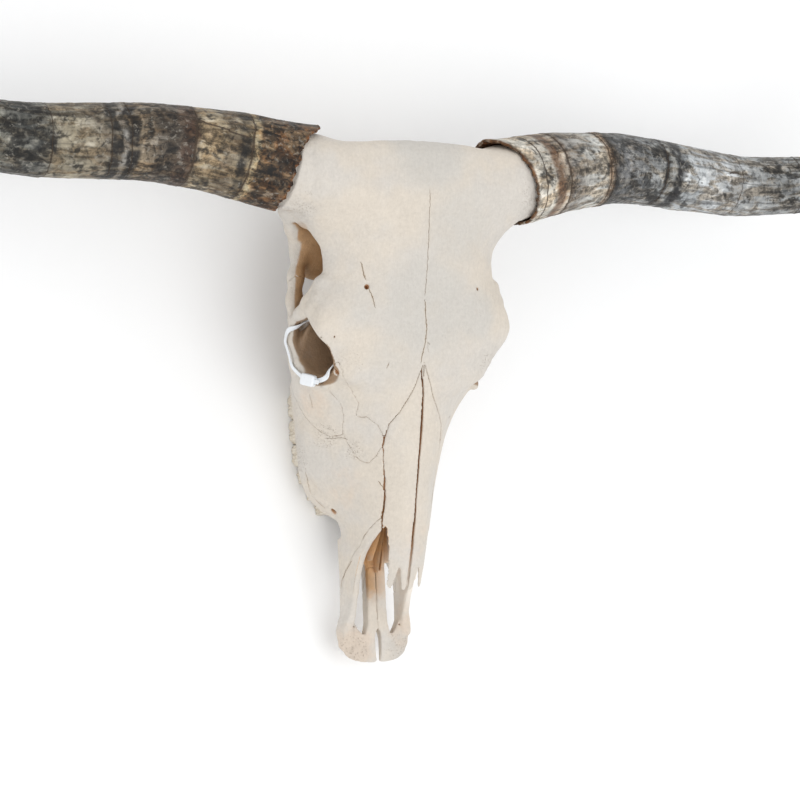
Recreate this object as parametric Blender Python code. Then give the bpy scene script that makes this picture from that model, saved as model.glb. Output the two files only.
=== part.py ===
"""Longhorn steer skull without its lower jaw: the cranium, the face bones and the two horns.

The bones are one smooth body, worked out as a field of distances in millimetres: the field is
below zero inside bone.  It is meshed once, and the bones are parted along their sutures with
thin gaps.  The skull rests on its cheek teeth and on the two processes beside the occiput.
X runs to the animal's left, Y from the muzzle to the poll, Z up from the surface it rests on.
"""

import math

import bmesh
import bpy
import numpy as np
import openvdb
from mathutils import Vector

# ---------------------------------------------------------------- driving dimensions, millimetres
MM = 0.001                     # one millimetre in Blender's metres
ORIGIN_Y = 301.0               # distance of the part's origin behind the muzzle tip
GRID = 3.5                     # edge of a field cell
SUTURE = 0.5                   # gap between neighbouring bones
FLOOR_SNAP = 0.6               # corners lower than this lie flat on the floor
SKULL_TRIANGLES = 4500         # the whole skull, before it is parted into bones
PARTING_SOLVER = "MANIFOLD"    # the exact solver loses the maxillae: both meshes are closed here

SKULL_LENGTH = 514.0
PALATE_Z = 38.0
TOOTH_FRONT_Y = 156.0
TOOTH_BACK_Y = 284.0
HORN_BASE = (122.0, 487.0, 159.0)
CORE_DIRECTION = (1.0, 0.215, -0.11)
CORE_RADIUS = 38.0             # at the horn's rim
CORE_TAPER = 0.07
SOCKET_DEPTH = 42.0            # how far the core's stub reaches into the horn
SOCKET_CLEARANCE = 2.0
HORN_STATIONS = 32
HORN_BEVEL = 4                 # bevel resolution: 12 sides

TIE_WIDTH = 4.8
TIE_THICKNESS = 1.4
TIE_CLEARANCE = 1.4            # between the tie's middle line and the bone, besides its half-thickness
TIE_HEAD = (13.0, 11.0, 7.0)    # the locking block: along the band, across it, and its height
TIE_HEAD_AT = 54               # station of the band where the locking block sits

FIELD_LOW = (0.0, -10.5, -7.0)
FIELD_HIGH = (175.0, 542.5, 224.0)


# ---------------------------------------------------------------- curves and field tools
def curve(stations, t):
    """Smooth curve through (t, value) stations that never overshoots between two of them."""
    knots = np.array([s[0] for s in stations], float)
    values = np.array([s[1] for s in stations], float)
    step = np.diff(knots)
    slope = np.diff(values) / step
    same = slope[:-1] * slope[1:] > 0
    inner = np.zeros(len(slope) - 1)
    inner[same] = 2 * slope[:-1][same] * slope[1:][same] / (slope[:-1] + slope[1:])[same]
    tangent = np.concatenate([[slope[0]], inner, [slope[-1]]])
    t = np.clip(np.asarray(t, float), knots[0], knots[-1])
    i = np.clip(np.searchsorted(knots, t, side="right") - 1, 0, len(step) - 1)
    u = (t - knots[i]) / step[i]
    h00 = 2 * u**3 - 3 * u**2 + 1
    h10 = u**3 - 2 * u**2 + u
    h01 = 3 * u**2 - 2 * u**3
    h11 = u**3 - u**2
    return (h00 * values[i] + h10 * step[i] * tangent[i]
            + h01 * values[i + 1] + h11 * step[i] * tangent[i + 1])


def join(a, b, blend):
    """Union of two fields with a fillet of about the blend's size."""
    h = np.clip(0.5 + 0.5 * (b - a) / blend, 0, 1)
    return b * (1 - h) + a * h - blend * h * (1 - h)


def common(a, b, blend):
    """What two fields share, with its edge rounded by the blend."""
    return -join(-a, -b, blend)


def carve(a, b, blend):
    """Field a with b taken out of it."""
    return common(a, -b, blend)


def ellipsoid(p, centre, radii):
    """Field of an ellipsoid with its axes along X, Y and Z."""
    d = [(p[i] - centre[i]) / radii[i] for i in range(3)]
    r = np.sqrt(d[0] ** 2 + d[1] ** 2 + d[2] ** 2)
    return (r - 1) * min(radii)


def rod(p, start, end, radius_start, radius_end, squash=(1, 1, 1)):
    """Field of a tapered rod with round ends; squash stretches its section along an axis."""
    a = np.array(start, float)
    axis = np.array(end, float) - a
    t = sum((p[i] - a[i]) * axis[i] for i in range(3)) / float(axis @ axis)
    t = np.clip(t, 0, 1)
    d2 = sum(((p[i] - a[i] - t * axis[i]) / squash[i]) ** 2 for i in range(3))
    return np.sqrt(d2) - (radius_start + (radius_end - radius_start) * t)


def chain(p, points, blend, squash=(1, 1, 1)):
    """Rods end to end through (x, y, z, radius) points."""
    field = None
    for a, b in zip(points[:-1], points[1:]):
        link = rod(p, a[:3], b[:3], a[3], b[3], squash)
        field = link if field is None else join(field, link, blend)
    return field


def slab(value, low, high):
    """Field of the layer where the value lies between low and high."""
    return np.maximum(low - value, value - high)


# ---------------------------------------------------------------- the skull's outlines
TOP_LINE = ((60, 106), (78, 114), (110, 126), (170, 142), (214, 153.5), (259, 163), (298, 169),
            (323, 174), (357, 182), (387, 188), (441, 198), (470, 204), (495, 206), (515, 203))
PLATE_EDGE = ((270, 60), (285, 84), (300, 94), (312, 103), (325, 111), (335, 113.5), (346, 112.5),
              (358, 109), (367, 104.5), (377, 101), (386, 99), (400, 98.5), (412, 100.5),
              (420, 104), (432, 111), (443, 117), (520, 118))
PLATE_DROP = ((270, 14), (300, 17), (330, 15), (360, 24), (387, 32), (415, 36), (440, 28),
              (465, 8), (500, 10), (520, 16))
FACE_LEVELS = (  # half-widths of the face from the cheek teeth's sockets up to the nose's roof
    ((60, 33), (110, 35), (135, 36), (145, 39), (153, 46), (163, 57), (172, 64.5), (182, 69),
     (200, 72), (222, 74), (250, 75), (285, 76), (310, 62), (345, 40)),
    ((60, 33), (110, 35.5), (135, 37), (152, 42), (175, 56), (200, 68), (222, 76), (240, 81),
     (262, 87), (285, 95), (315, 101), (335, 98), (352, 84)),
    ((60, 30), (110, 32), (135, 34), (152, 37), (175, 43), (200, 51), (222, 60), (240, 68),
     (259, 77), (275, 88), (290, 95), (345, 92)),
    ((60, 18), (110, 22), (152, 25), (200, 29), (222, 33), (240, 39), (259, 50), (275, 62),
     (290, 74), (345, 84)))
FACE_LOW = ((60, 34), (110, 37), (146, 38), (160, 26), (180, 23), (285, 24), (300, 40),
            (320, 62), (345, 66))
SIDE_WALL_TOP = ((0, 38), (34, 45), (50, 51), (65, 58), (80, 64), (95, 72), (110, 83),
                 (125, 103), (138, 122), (150, 142))


def face_width(y, z):
    """Half-width of the face at each y and z: a cubic through four levels, palate to roof."""
    top = curve(TOP_LINE, y)
    low = curve(FACE_LOW, y)
    u = np.clip((z - low) / (top - low), 0, 1)
    w = [curve(level, y) for level in FACE_LEVELS]
    return (w[0] * (1 - 3 * u) * (1 - 1.5 * u) * (1 - u) + w[1] * 9 * u * (1 - 1.5 * u) * (1 - u)
            + w[2] * 4.5 * u * (3 * u - 1) * (1 - u) + w[3] * u * (1 - 3 * u) * (1 - 1.5 * u))


def roof(x, y):
    """Height of the skull's upper surface: the top line, lower towards the sides."""
    edge = curve(PLATE_EDGE, y)
    drop = curve(PLATE_DROP, y)
    return curve(TOP_LINE, y) - drop * np.minimum(x / edge, 1.15) ** 3


# ---------------------------------------------------------------- the skull's masses
def face_mass(p):
    """The solid muzzle and cheeks, from the nasal tips to the eyes."""
    x, y, z = p
    roof_line = curve(TOP_LINE, y) - 0.016 * x ** 2 * curve(((60, 1), (200, 1), (290, 0.25)), y)
    sides = x - face_width(y, z)
    shell = common(sides, z - roof_line, 16)
    shell = common(shell, curve(FACE_LOW, y) - z, 8)
    vault = common(x - curve(((60, 20), (140, 26), (165, 34), (200, 46), (290, 48)), y),
                   z - PALATE_Z - 3 + 0.002 * x ** 2, 8)
    shell = carve(shell, vault, 6)
    return common(shell, slab(y, 70, 350), 6)


def nasal_cavity(p):
    """The open nose: the space behind the nasal tips, closing 150 mm in."""
    x, y, z = p
    wall = curve(((60, 5.0), (150, 5.5), (215, 30)), y)
    ceiling = curve(TOP_LINE, y) - 0.016 * x ** 2 - curve(((60, 6), (140, 8), (215, 40)), y)
    inside = common(x - (face_width(y, z) - wall), z - ceiling, 8)
    inside = common(inside, 45.5 - z, 6)
    front = common(z - ceiling + 0.5, curve(SIDE_WALL_TOP, y) - z, 2)
    front = common(front, slab(y, 40, 150), 2)
    notch = rod(p, (11, 60, 112), (11, 91, 118), 7, 1, (1, 1, 3))
    front = np.minimum(front, common(notch, slab(y, 40, 100), 1))
    return join(common(inside, slab(y, 40, 208), 5), front, 2)


def muzzle_floor(p):
    """The two premaxillae: a flat fork with the palatine processes between its prongs."""
    x, y, z = p
    outer = curve(((-1, 12), (3, 26), (10, 35.5), (22, 41), (34, 41.5), (42, 39.5), (52, 36.5),
                   (95, 35), (130, 35)), y)
    level = z + 0.0045 * x ** 2
    half = curve(((0, 3), (20, 4), (34, 5.5), (60, 6), (100, 6)), y)
    plate = common(x - outer, slab(level, 40.5 - half, 40.5 + half), 4)
    plate = common(plate, slab(y, 0, 130), 3)
    arm_in = outer - np.maximum(14 - 0.4 * (z - 40), 5)
    arm = common(slab(x, arm_in, outer - 1.5 + 0.04 * (z - 40)),
                 slab(z, 35, curve(SIDE_WALL_TOP, y)), 3)
    plate = join(plate, common(arm, slab(y, 22, 120), 8), 3)
    process = common(x - 10.8, slab(z, 38, curve(((20, 41), (50, 45), (140, 52)), y)), 3)
    plate = join(plate, common(process, slab(y, 30, 150), 4), 2)
    keyhole = common(x - curve(((0, 8.5), (5, 5.4), (26, 5.2), (33, 3), (38, 0.5)), y), y - 38, 2)
    return carve(plate, keyhole, 1.5)


def palatine_fissures(p):
    """The long openings through the muzzle's floor, one on each side of its middle."""
    x, y, z = p
    slot_in = curve(((28, 15), (45, 11.5), (100, 10.8)), y)
    slot_out = curve(((28, 18), (45, 27), (80, 28), (104, 20)), y)
    fissure = common(slab(x, slot_in, slot_out), slab(y, 29, 102), 2)
    return common(fissure, z - 60, 2)


def frontal_plate(p):
    """The broad forehead that roofs the orbits and the temporal hollows."""
    x, y, z = p
    top = roof(x, y)
    thick = curve(((270, 24), (335, 26), (356, 18), (376, 11), (412, 11), (428, 20), (446, 46), (520, 60)), y)
    plate = common(x - curve(PLATE_EDGE, y), slab(z, top - thick, top), 8)
    return common(plate, slab(y, 268, SKULL_LENGTH + 3.5 - 0.0008 * x ** 2), 12)


def braincase(p):
    """The brain's box under the forehead, with the skull's base and the back of the head."""
    x, y, z = p
    side = curve(((290, 30), (330, 38), (360, 50), (400, 60), (430, 66), (470, 74), (515, 70)), y)
    base = curve(((290, 52), (340, 60), (380, 66), (440, 64), (480, 60), (510, 66)), y)
    box = common(x - side - 0.10 * (z - 110), slab(z, base + 0.004 * x ** 2, roof(x, y) - 4), 22)
    box = common(box, slab(y, 290, SKULL_LENGTH - 12), 10)
    nape = ellipsoid(p, (0, 468, 126), (96, 38, 74))
    keel = chain(p, ((0, 500, 168, 12), (0, 498, 140, 14), (0, 490, 112, 10)), 10)
    return join(join(box, nape, 14), keel, 12)


def horn_neck(p):
    """The root of the horn core, from the corner of the forehead into the horn."""
    x, y, z = p
    bx, by, bz = HORN_BASE
    neck = chain(p, ((62, by - 16, bz + 6, 35), (bx - 8, by - 3, bz, 38), (bx + 4, by, bz - 1, 38)), 6)
    return common(neck, x - (bx + 6), 2)


def along_core(p):
    """Distance along the horn core from the horn's rim, and distance from the core's axis."""
    offset = [p[i] - HORN_BASE[i] for i in range(3)]
    axis = np.array(CORE_DIRECTION) / np.linalg.norm(CORE_DIRECTION)
    along = sum(offset[i] * axis[i] for i in range(3))
    away = sum((offset[i] - along * axis[i]) ** 2 for i in range(3))
    return along, np.sqrt(away)


def horn_core(p):
    """The short stub of core that carries the horn."""
    along, radius = along_core(p)
    core = radius - (CORE_RADIUS - CORE_TAPER * along)
    return common(core, slab(along, -10, SOCKET_DEPTH), 3)


def horn_wall(p):
    """The space round the core, past the rim of the horn, that the horn's wall takes."""
    along, radius = along_core(p)
    return common(-4.5 - along, CORE_RADIUS + 0.4 - radius, 2)


def cheek_arch(p):
    """The zygomatic bone under the eye, the bar behind the eye and the arch to the temple."""
    rim = chain(p, ((87, 280, 122, 5.5), (94, 284, 108, 5), (103.5, 303, 97, 4.5),
                    (108, 327, 95, 4.5), (107.5, 346, 101, 5)), 6)
    cheek = chain(p, ((72, 256, 78, 9), (84, 284, 79, 12), (91, 310, 82, 11), (100, 338, 88, 8)), 14)
    bar = chain(p, ((108, 346, 103, 5), (109, 351, 118, 6), (107, 361, 132, 6), (101, 378, 147, 6)), 6)
    arch = chain(p, ((105, 350, 97, 7), (104, 368, 97, 7.5), (101.5, 392, 98, 7.5), (96, 414, 98, 7),
                     (91, 430, 98, 7), (68, 452, 90, 20)), 8, (1, 1, 0.9))
    crest = chain(p, ((91, 430, 99, 7), (104, 441, 109, 9), (117, 456, 124, 13)), 10)
    joint = chain(p, ((70, 404, 84, 12), (72, 422, 92, 16), (76, 440, 104, 20)), 12, (1.6, 1, 1))
    ring = join(join(rim, cheek, 8), join(bar, arch, 6), 5)
    return join(join(ring, crest, 10), joint, 8)


def eye_floor(p):
    """The thin-walled swelling under the eye that closes the socket from below."""
    return ellipsoid(p, (76, 322, 83), (25, 36, 16))


def skull_base(p):
    """Condyles, the processes beside them, the ear bullae, and the pterygoid plates."""
    x, y, z = p
    condyle = chain(p, ((12, 488, 48, 9), (27, 500, 58, 15), (36, 502, 76, 13)), 10)
    process = chain(p, ((58, 474, 80, 16), (54, 482, 42, 11), (48, 486, 4, 6.5)), 8,
                    (0.7, 1.3, 1))
    bulla = ellipsoid(p, (42, 440, 52), (12, 19, 20))
    ear = rod(p, (58, 452, 84), (86, 460, 86), 15, 9)
    plate_low = curve(((284, 40), (320, 36), (346, 32), (362, 46), (384, 62)), y)
    pterygoid = common(slab(x, curve(((284, 30), (384, 22)), y), curve(((284, 37), (384, 29)), y)),
                       slab(z, plate_low, 70), 3)
    pterygoid = common(pterygoid, slab(y, 280, 384), 4)
    base = join(condyle, process, 8)
    base = join(base, bulla, 6)
    return join(join(base, ear, 10), pterygoid, 8)


def cheek_teeth(p):
    """One row of six cheek teeth, worn flat, each lobe a scallop on the row's cheek side."""
    x, y, z = p
    middle = curve(((TOOTH_FRONT_Y, 34), (170, 41.5), (190, 50), (215, 56), (260, 58),
                    (TOOTH_BACK_Y, 56)), y) + 0.14 * (z - 5)
    half = curve(((TOOTH_FRONT_Y, 6), (180, 8.5), (210, 10), (270, 10.5), (TOOTH_BACK_Y, 8)), y)
    lobe = 2.4 * np.abs(np.sin(np.pi * (y - TOOTH_FRONT_Y) / 14.2))
    row = common(np.abs(x - middle) - half - lobe, slab(z, 0.0, 44), 2.5)
    return common(row, slab(y, TOOTH_FRONT_Y, TOOTH_BACK_Y), 3)


def hollows(p):
    """The hollows that openings show: orbit, temple, throat, brain door and ear."""
    x, y, z = p
    socket = join(ellipsoid(p, (103, 315, 127), (30, 29, 26)),
                  ellipsoid(p, (78, 320, 126), (30, 26, 23)), 10)
    behind = ellipsoid(p, (90, 352, 128), (13, 24, 15))
    temple = chain(p, ((87, 364, 118, 17), (82, 396, 116, 18), (84, 420, 122, 14), (94, 434, 132, 9)), 10,
                   (0.9, 1, 1.25))
    through = chain(p, ((87, 376, 96, 8), (84, 388, 80, 11)), 6, (1, 1.5, 1.4))
    hollow = join(socket, join(behind, temple, 10), 8)
    hollow = join(hollow, through, 8)
    throat = chain(p, ((0, 296, 44, 9), (0, 330, 50, 20), (0, 372, 48, 20)), 10, (1.15, 1, 0.8))
    hollow = np.minimum(hollow, throat)
    door = rod(p, (0, 476, 84), (0, 540, 78), 14, 18, (1.15, 1, 1))
    return np.minimum(hollow, door)


def skull_field(p):
    """The whole skull."""
    body = join(face_mass(p), frontal_plate(p), 10)
    body = join(body, braincase(p), 12)
    body = join(body, horn_neck(p), 16)
    body = carve(body, hollows(p), 5)
    body = join(join(body, eye_floor(p), 8), cheek_arch(p), 6)
    body = join(body, skull_base(p), 6)
    body = carve(body, nasal_cavity(p), 3)
    body = carve(join(body, muzzle_floor(p), 4), palatine_fissures(p), 1.5)
    body = join(body, cheek_teeth(p), 3)
    body = join(carve(body, horn_wall(p), 2), horn_core(p), 2)
    return np.maximum(body, -p[2])


# ---------------------------------------------------------------- meshes
def new_object(name, mesh, collection):
    """Put a mesh into the scene as a named object."""
    mesh.name = name
    obj = bpy.data.objects.new(name, mesh)
    collection.objects.link(obj)
    return obj


def material(name, colour, roughness):
    """A plain Principled material."""
    made = bpy.data.materials.new(name)
    made.use_nodes = True
    shader = made.node_tree.nodes["Principled BSDF"]
    shader.inputs["Base Color"].default_value = (*colour, 1)
    shader.inputs["Roughness"].default_value = roughness
    shader.inputs["Metallic"].default_value = 0.0
    return made


def apply_modifiers(obj):
    """Replace an object's mesh by what its modifiers make of it."""
    graph = bpy.context.evaluated_depsgraph_get()
    made = bpy.data.meshes.new_from_object(obj.evaluated_get(graph))
    old = obj.data
    obj.modifiers.clear()
    obj.data = made
    bpy.data.meshes.remove(old)


def keep_largest(obj):
    """Drop every loose crumb of a cut and keep the body with the most corners."""
    mesh = bmesh.new()
    mesh.from_mesh(obj.data)
    bmesh.ops.remove_doubles(mesh, verts=mesh.verts, dist=0.00001)
    mesh.verts.ensure_lookup_table()
    seen = set()
    islands = []
    for start in mesh.verts:
        if start in seen:
            continue
        seen.add(start)
        island = [start]
        for vert in island:
            for edge in vert.link_edges:
                other = edge.other_vert(vert)
                if other not in seen:
                    seen.add(other)
                    island.append(other)
        islands.append(island)
    islands.sort(key=len)
    crumbs = [vert for island in islands[:-1] for vert in island]
    bmesh.ops.delete(mesh, geom=crumbs, context="VERTS")
    mesh.to_mesh(obj.data)
    mesh.free()


def boolean(obj, cutter, operation, solver="EXACT"):
    """Cut or join an object with another one at once."""
    step = obj.modifiers.new(operation.lower(), "BOOLEAN")
    step.operation = operation
    step.solver = solver
    step.object = cutter
    apply_modifiers(obj)
    keep_largest(obj)


def whole_skull(collection):
    """Mesh the field on both sides of the midline and thin it to the triangle budget."""
    low, high = np.array(FIELD_LOW), np.array(FIELD_HIGH)
    axes = [np.arange(low[i], high[i] + GRID, GRID) for i in range(3)]
    p = (axes[0][:, None, None], axes[1][None, :, None], axes[2][None, None, :])
    half = skull_field(p)
    field = np.concatenate([half[:0:-1], half]).astype(np.float32)
    grid = openvdb.FloatGrid(2 * GRID)
    grid.copyFromArray(field)
    points, quads = grid.convertToQuads(0.0)
    start = np.array([-(len(axes[0]) - 1) * GRID, low[1] - ORIGIN_Y, low[2]])
    mesh = bpy.data.meshes.new("whole_skull")
    mesh.from_pydata(((points * GRID + start) * MM).tolist(), [], quads.tolist())
    mesh.update()
    skull = new_object("whole_skull", mesh, collection)
    if signed_volume(mesh) < 0:
        mesh.flip_normals()
    thin = skull.modifiers.new("thin", "DECIMATE")
    thin.ratio = SKULL_TRIANGLES / (2 * len(quads))
    thin.use_symmetry = True
    thin.symmetry_axis = "X"
    apply_modifiers(skull)
    keep_largest(skull)
    for corner in skull.data.vertices:
        if corner.co.z < FLOOR_SNAP * MM:
            corner.co.z = 0.0
    return skull


def signed_volume(mesh):
    """Volume of a closed mesh, below zero where its faces point inwards."""
    copy = bmesh.new()
    copy.from_mesh(mesh)
    volume = copy.calc_volume(signed=True)
    copy.free()
    return volume


# ---------------------------------------------------------------- the sutures
NASAL_PLAN = ((0, 50), (28.5, 50), (28.5, 142), (27, 152), (27.5, 180), (33, 222), (21, 262),
              (9, 284), (0, 297))           # x, y
NASAL_SIDE_DEPTH = 19.0                     # thickness of the nasal bones at the midline
PREMAXILLA_SIDE = ((-12, -2), (68, -2), (72, 35), (107, 61), (128, 88), (146, 118), (152, 131),
                   (151, 150), (136, 130), (120, 112), (100, 95), (60, 90), (-12, 80))  # y, z
LACRIMAL_SIDE = ((218, 106), (206, 109.5), (200, 118), (211, 131), (222, 146), (230, 139),
                 (245, 133), (249, 126), (258, 132), (276, 138), (288, 151), (298, 153),
                 (292, 136), (284, 124), (272, 118), (262, 118.5), (250, 114), (234, 105))
LACRIMAL_PLAN = ((27, 190), (220, 190), (220, 300), (50, 300))
ZYGOMATIC_SIDE = ((229, 92), (231, 104), (240, 110), (250, 117), (262, 121.5), (272, 121),
                  (284, 126), (300, 124), (312, 120), (338, 113), (366, 112), (372, 108),
                  (392, 106), (378, 86), (372, 48), (300, 48), (268, 60), (240, 78))
ZYGOMATIC_PLAN = ((60, 200), (220, 200), (220, 400), (60, 400))
MAXILLA_SIDE = ((69, -2), (291, -2), (293, 50), (297, 110), (240, 114), (226, 128), (222, 170),
                (140, 170), (152, 131), (146, 118), (128, 88), (107, 61), (72, 35))


def widened(outline, gap):
    """Outline moved outwards by the gap, corner by corner."""
    points = np.array(outline, float)
    ahead = np.roll(points, -1, axis=0) - points
    ahead /= np.linalg.norm(ahead, axis=1)[:, None]
    behind = np.roll(ahead, 1, axis=0)
    area = np.sum(points[:, 0] * np.roll(points[:, 1], -1) - np.roll(points[:, 0], -1) * points[:, 1])
    turn = np.sign(area)
    normal_a = turn * np.stack([ahead[:, 1], -ahead[:, 0]], axis=1)
    normal_b = turn * np.stack([behind[:, 1], -behind[:, 0]], axis=1)
    bisector = normal_a + normal_b
    bisector /= np.maximum(np.sum(bisector * normal_a, axis=1), 0.35)[:, None]
    return points + gap * bisector


def prism(name, outline, along, low, high, side, collection):
    """Prism of an outline; along is 0 for (y, z) outlines and 2 for (x, y) ones."""
    count = len(outline)
    rows = []
    for level in (low, high):
        for a, b in outline:
            x, y, z = (level, a, b) if along == 0 else (a, b, level)
            rows.append((side * x * MM, (y - ORIGIN_Y) * MM, z * MM))
    faces = [tuple(range(count)), tuple(range(2 * count - 1, count - 1, -1))]
    faces += [(i, i + count, (i + 1) % count + count, (i + 1) % count) for i in range(count)]
    mesh = bpy.data.meshes.new(name)
    mesh.from_pydata(rows, [], faces)
    copy = bmesh.new()
    copy.from_mesh(mesh)
    bmesh.ops.triangulate(copy, faces=copy.faces)
    bmesh.ops.recalc_face_normals(copy, faces=copy.faces)
    copy.to_mesh(mesh)
    copy.free()
    if signed_volume(mesh) < 0:
        mesh.flip_normals()
    obj = new_object(name, mesh, collection)
    obj.hide_render = True
    obj.display_type = "WIRE"
    return obj


def bone_block(name, side_outline, plan_outline, side, gap, cutters):
    """The space of one bone: its side outline pulled through X, within its plan outline."""
    block = prism(name + "_block", widened(side_outline, gap), 0, SUTURE / 2 - gap, 230, side, cutters)
    if plan_outline is not None:
        plan = prism(name + "_plan", widened(plan_outline, gap), 2, -20, 260, side, cutters)
        boolean(block, plan, "INTERSECT")
        bpy.data.objects.remove(plan)
    return block


def nasal_side():
    """Side outline of the nasal bones: a layer under the top line."""
    ys = np.linspace(56, 300, 12)
    under = [(y, float(curve(TOP_LINE, y)) - NASAL_SIDE_DEPTH) for y in ys]
    return under + [(300, 260), (56, 260)]


def part_bones(skull, collection, cutters):
    """Take the face bones out of the whole skull, one pair after another."""
    plans = (("nasal", nasal_side(), NASAL_PLAN), ("premaxilla", PREMAXILLA_SIDE, None),
             ("lacrimal", LACRIMAL_SIDE, LACRIMAL_PLAN), ("zygomatic", ZYGOMATIC_SIDE, ZYGOMATIC_PLAN),
             ("maxilla", MAXILLA_SIDE, None))
    bones = []
    for name, side_outline, plan_outline in plans:
        for side, tag in ((-1, "right"), (1, "left")):
            bone = new_object(f"{name}_{tag}", skull.data.copy(), collection)
            block = bone_block(name, side_outline, plan_outline, side, 0.0, cutters)
            boolean(bone, block, "INTERSECT", PARTING_SOLVER)
            bpy.data.objects.remove(block)
            bones.append(bone)
        for side in (-1, 1):
            block = bone_block(name, side_outline, plan_outline, side, SUTURE, cutters)
            boolean(skull, block, "DIFFERENCE", PARTING_SOLVER)
            bpy.data.objects.remove(block)
    return bones


# ---------------------------------------------------------------- the horns
HORN_ROOT = (  # distance along the horn, then x, y, z of its middle line: alike on both sides
    (0, 124, 487.0, 159.0), (80, 202, 504.0, 150.0), (165, 286, 513.0, 139.5))
HORN_PATH = {  # how each horn goes on: the right one sweeps back, the left one runs straighter
    "right": HORN_ROOT + (
        (260, 380, 512.0, 129.0), (330, 449, 517.0, 126.0), (400, 517, 527.0, 135.0),
        (470, 580, 543.0, 160.0), (540, 634, 560.0, 200.0), (610, 677, 576.0, 250.0),
        (680, 709, 588.0, 308.0), (740, 728, 595.0, 362.0)),
    "left": HORN_ROOT + (
        (260, 380, 508.0, 129.0), (330, 449, 504.0, 126.0), (400, 517, 506.0, 135.0),
        (470, 580, 514.0, 160.0), (540, 634, 526.0, 200.0), (610, 677, 540.0, 250.0),
        (680, 709, 552.0, 308.0), (740, 728, 560.0, 362.0))}
HORN_RADIUS = ((0, 45.5), (50, 43.6), (80, 41.5), (145, 37.8), (225, 36), (285, 34.3), (375, 32),
               (460, 29), (540, 24.5), (620, 18.5), (690, 11.5), (730, 5.5), (740, 2.5))


def horn(tag, side, collection, cutters):
    """Curved horn: a curve with a round bevel, hollow at its base where it sits on the core."""
    name = f"horn_{tag}"
    path = HORN_PATH[tag]
    t = np.linspace(0, path[-1][0], HORN_STATIONS)
    middle = [curve([(row[0], row[i]) for row in path], t) for i in (1, 2, 3)]
    radius = curve(HORN_RADIUS, t)
    data = bpy.data.curves.new(name, "CURVE")
    data.dimensions = "3D"
    data.bevel_depth = MM
    data.bevel_resolution = HORN_BEVEL
    data.use_fill_caps = True
    spline = data.splines.new("POLY")
    spline.points.add(HORN_STATIONS - 1)
    for i, point in enumerate(spline.points):
        point.co = (side * middle[0][i] * MM, (middle[1][i] - ORIGIN_Y) * MM, middle[2][i] * MM, 1)
        point.radius = radius[i]
    curve_object = bpy.data.objects.new(name, data)
    collection.objects.link(curve_object)
    graph = bpy.context.evaluated_depsgraph_get()
    mesh = bpy.data.meshes.new_from_object(curve_object.evaluated_get(graph))
    bpy.data.objects.remove(curve_object)
    made = new_object(name, mesh, collection)
    keep_largest(made)
    if signed_volume(made.data) < 0:
        made.data.flip_normals()
    socket = horn_socket(side, cutters)
    boolean(made, socket, "DIFFERENCE")
    bpy.data.objects.remove(socket)
    return made


def horn_socket(side, collection):
    """Tapered plug that hollows the horn's base round the core's stub."""
    axis = Vector(CORE_DIRECTION).normalized()
    base = Vector((HORN_BASE[0], HORN_BASE[1] - ORIGIN_Y, HORN_BASE[2]))
    ends = (-20.0, SOCKET_DEPTH + SOCKET_CLEARANCE)
    radii = [CORE_RADIUS + SOCKET_CLEARANCE - CORE_TAPER * end for end in ends]
    start, end = (base + axis * distance for distance in ends)
    start, end = (Vector((side * v.x, v.y, v.z)) * MM for v in (start, end))
    bpy.ops.mesh.primitive_cone_add(
        vertices=32, radius1=radii[0] * MM, radius2=radii[1] * MM, depth=(end - start).length,
        location=(start + end) / 2, rotation=(end - start).to_track_quat("Z", "Y").to_euler())
    plug = bpy.context.active_object
    for other in plug.users_collection:
        other.objects.unlink(plug)
    collection.objects.link(plug)
    plug.name = "socket"
    plug.hide_render = True
    plug.display_type = "WIRE"
    return plug


# ---------------------------------------------------------------- the cable tie
TIE_ROUTE = (  # round the mouth of the eye socket, in front of the bar: x, y, z on the left side
    (100, 286, 110), (106, 294, 100), (110.5, 308, 95), (113, 326, 94), (112.5, 338, 98),
    (107, 346, 108), (98, 348, 116), (90, 343, 121), (84, 334, 125), (80, 320, 130),
    (78, 307, 137), (82, 295, 142), (89, 285, 134), (95, 282, 121))


def skull_normal(points):
    """Direction away from the bone at each point, from the field's slope."""
    def at(shift):
        moved = [points[:, i] + shift[i] for i in range(3)]
        return skull_field(tuple(moved))
    slope = np.stack([at(s) - at(-np.array(s)) for s in np.eye(3)], axis=1)
    return slope / np.maximum(np.linalg.norm(slope, axis=1), 1e-6)[:, None]


def tie_route():
    """The tie's closed middle line, smoothed and pushed clear of the bone."""
    corners = np.array(TIE_ROUTE, float)
    count = len(corners)
    t = np.arange(0, count, 0.25)
    i = np.floor(t).astype(int)
    u = (t - i)[:, None]
    a, b, c, d = (corners[(i + k) % count] for k in (-1, 0, 1, 2))
    route = 0.5 * (2 * b + (c - a) * u + (2 * a - 5 * b + 4 * c - d) * u**2
                   + (3 * b - a - 3 * c + d) * u**3)
    wanted = TIE_CLEARANCE + TIE_THICKNESS / 2
    for _ in range(12):
        depth = skull_field(tuple(route.T))
        route = route + skull_normal(route) * np.clip(wanted - depth, 0, 2)[:, None]
        route = 0.5 * route + 0.25 * (np.roll(route, 1, axis=0) + np.roll(route, -1, axis=0))
    return route


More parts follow.
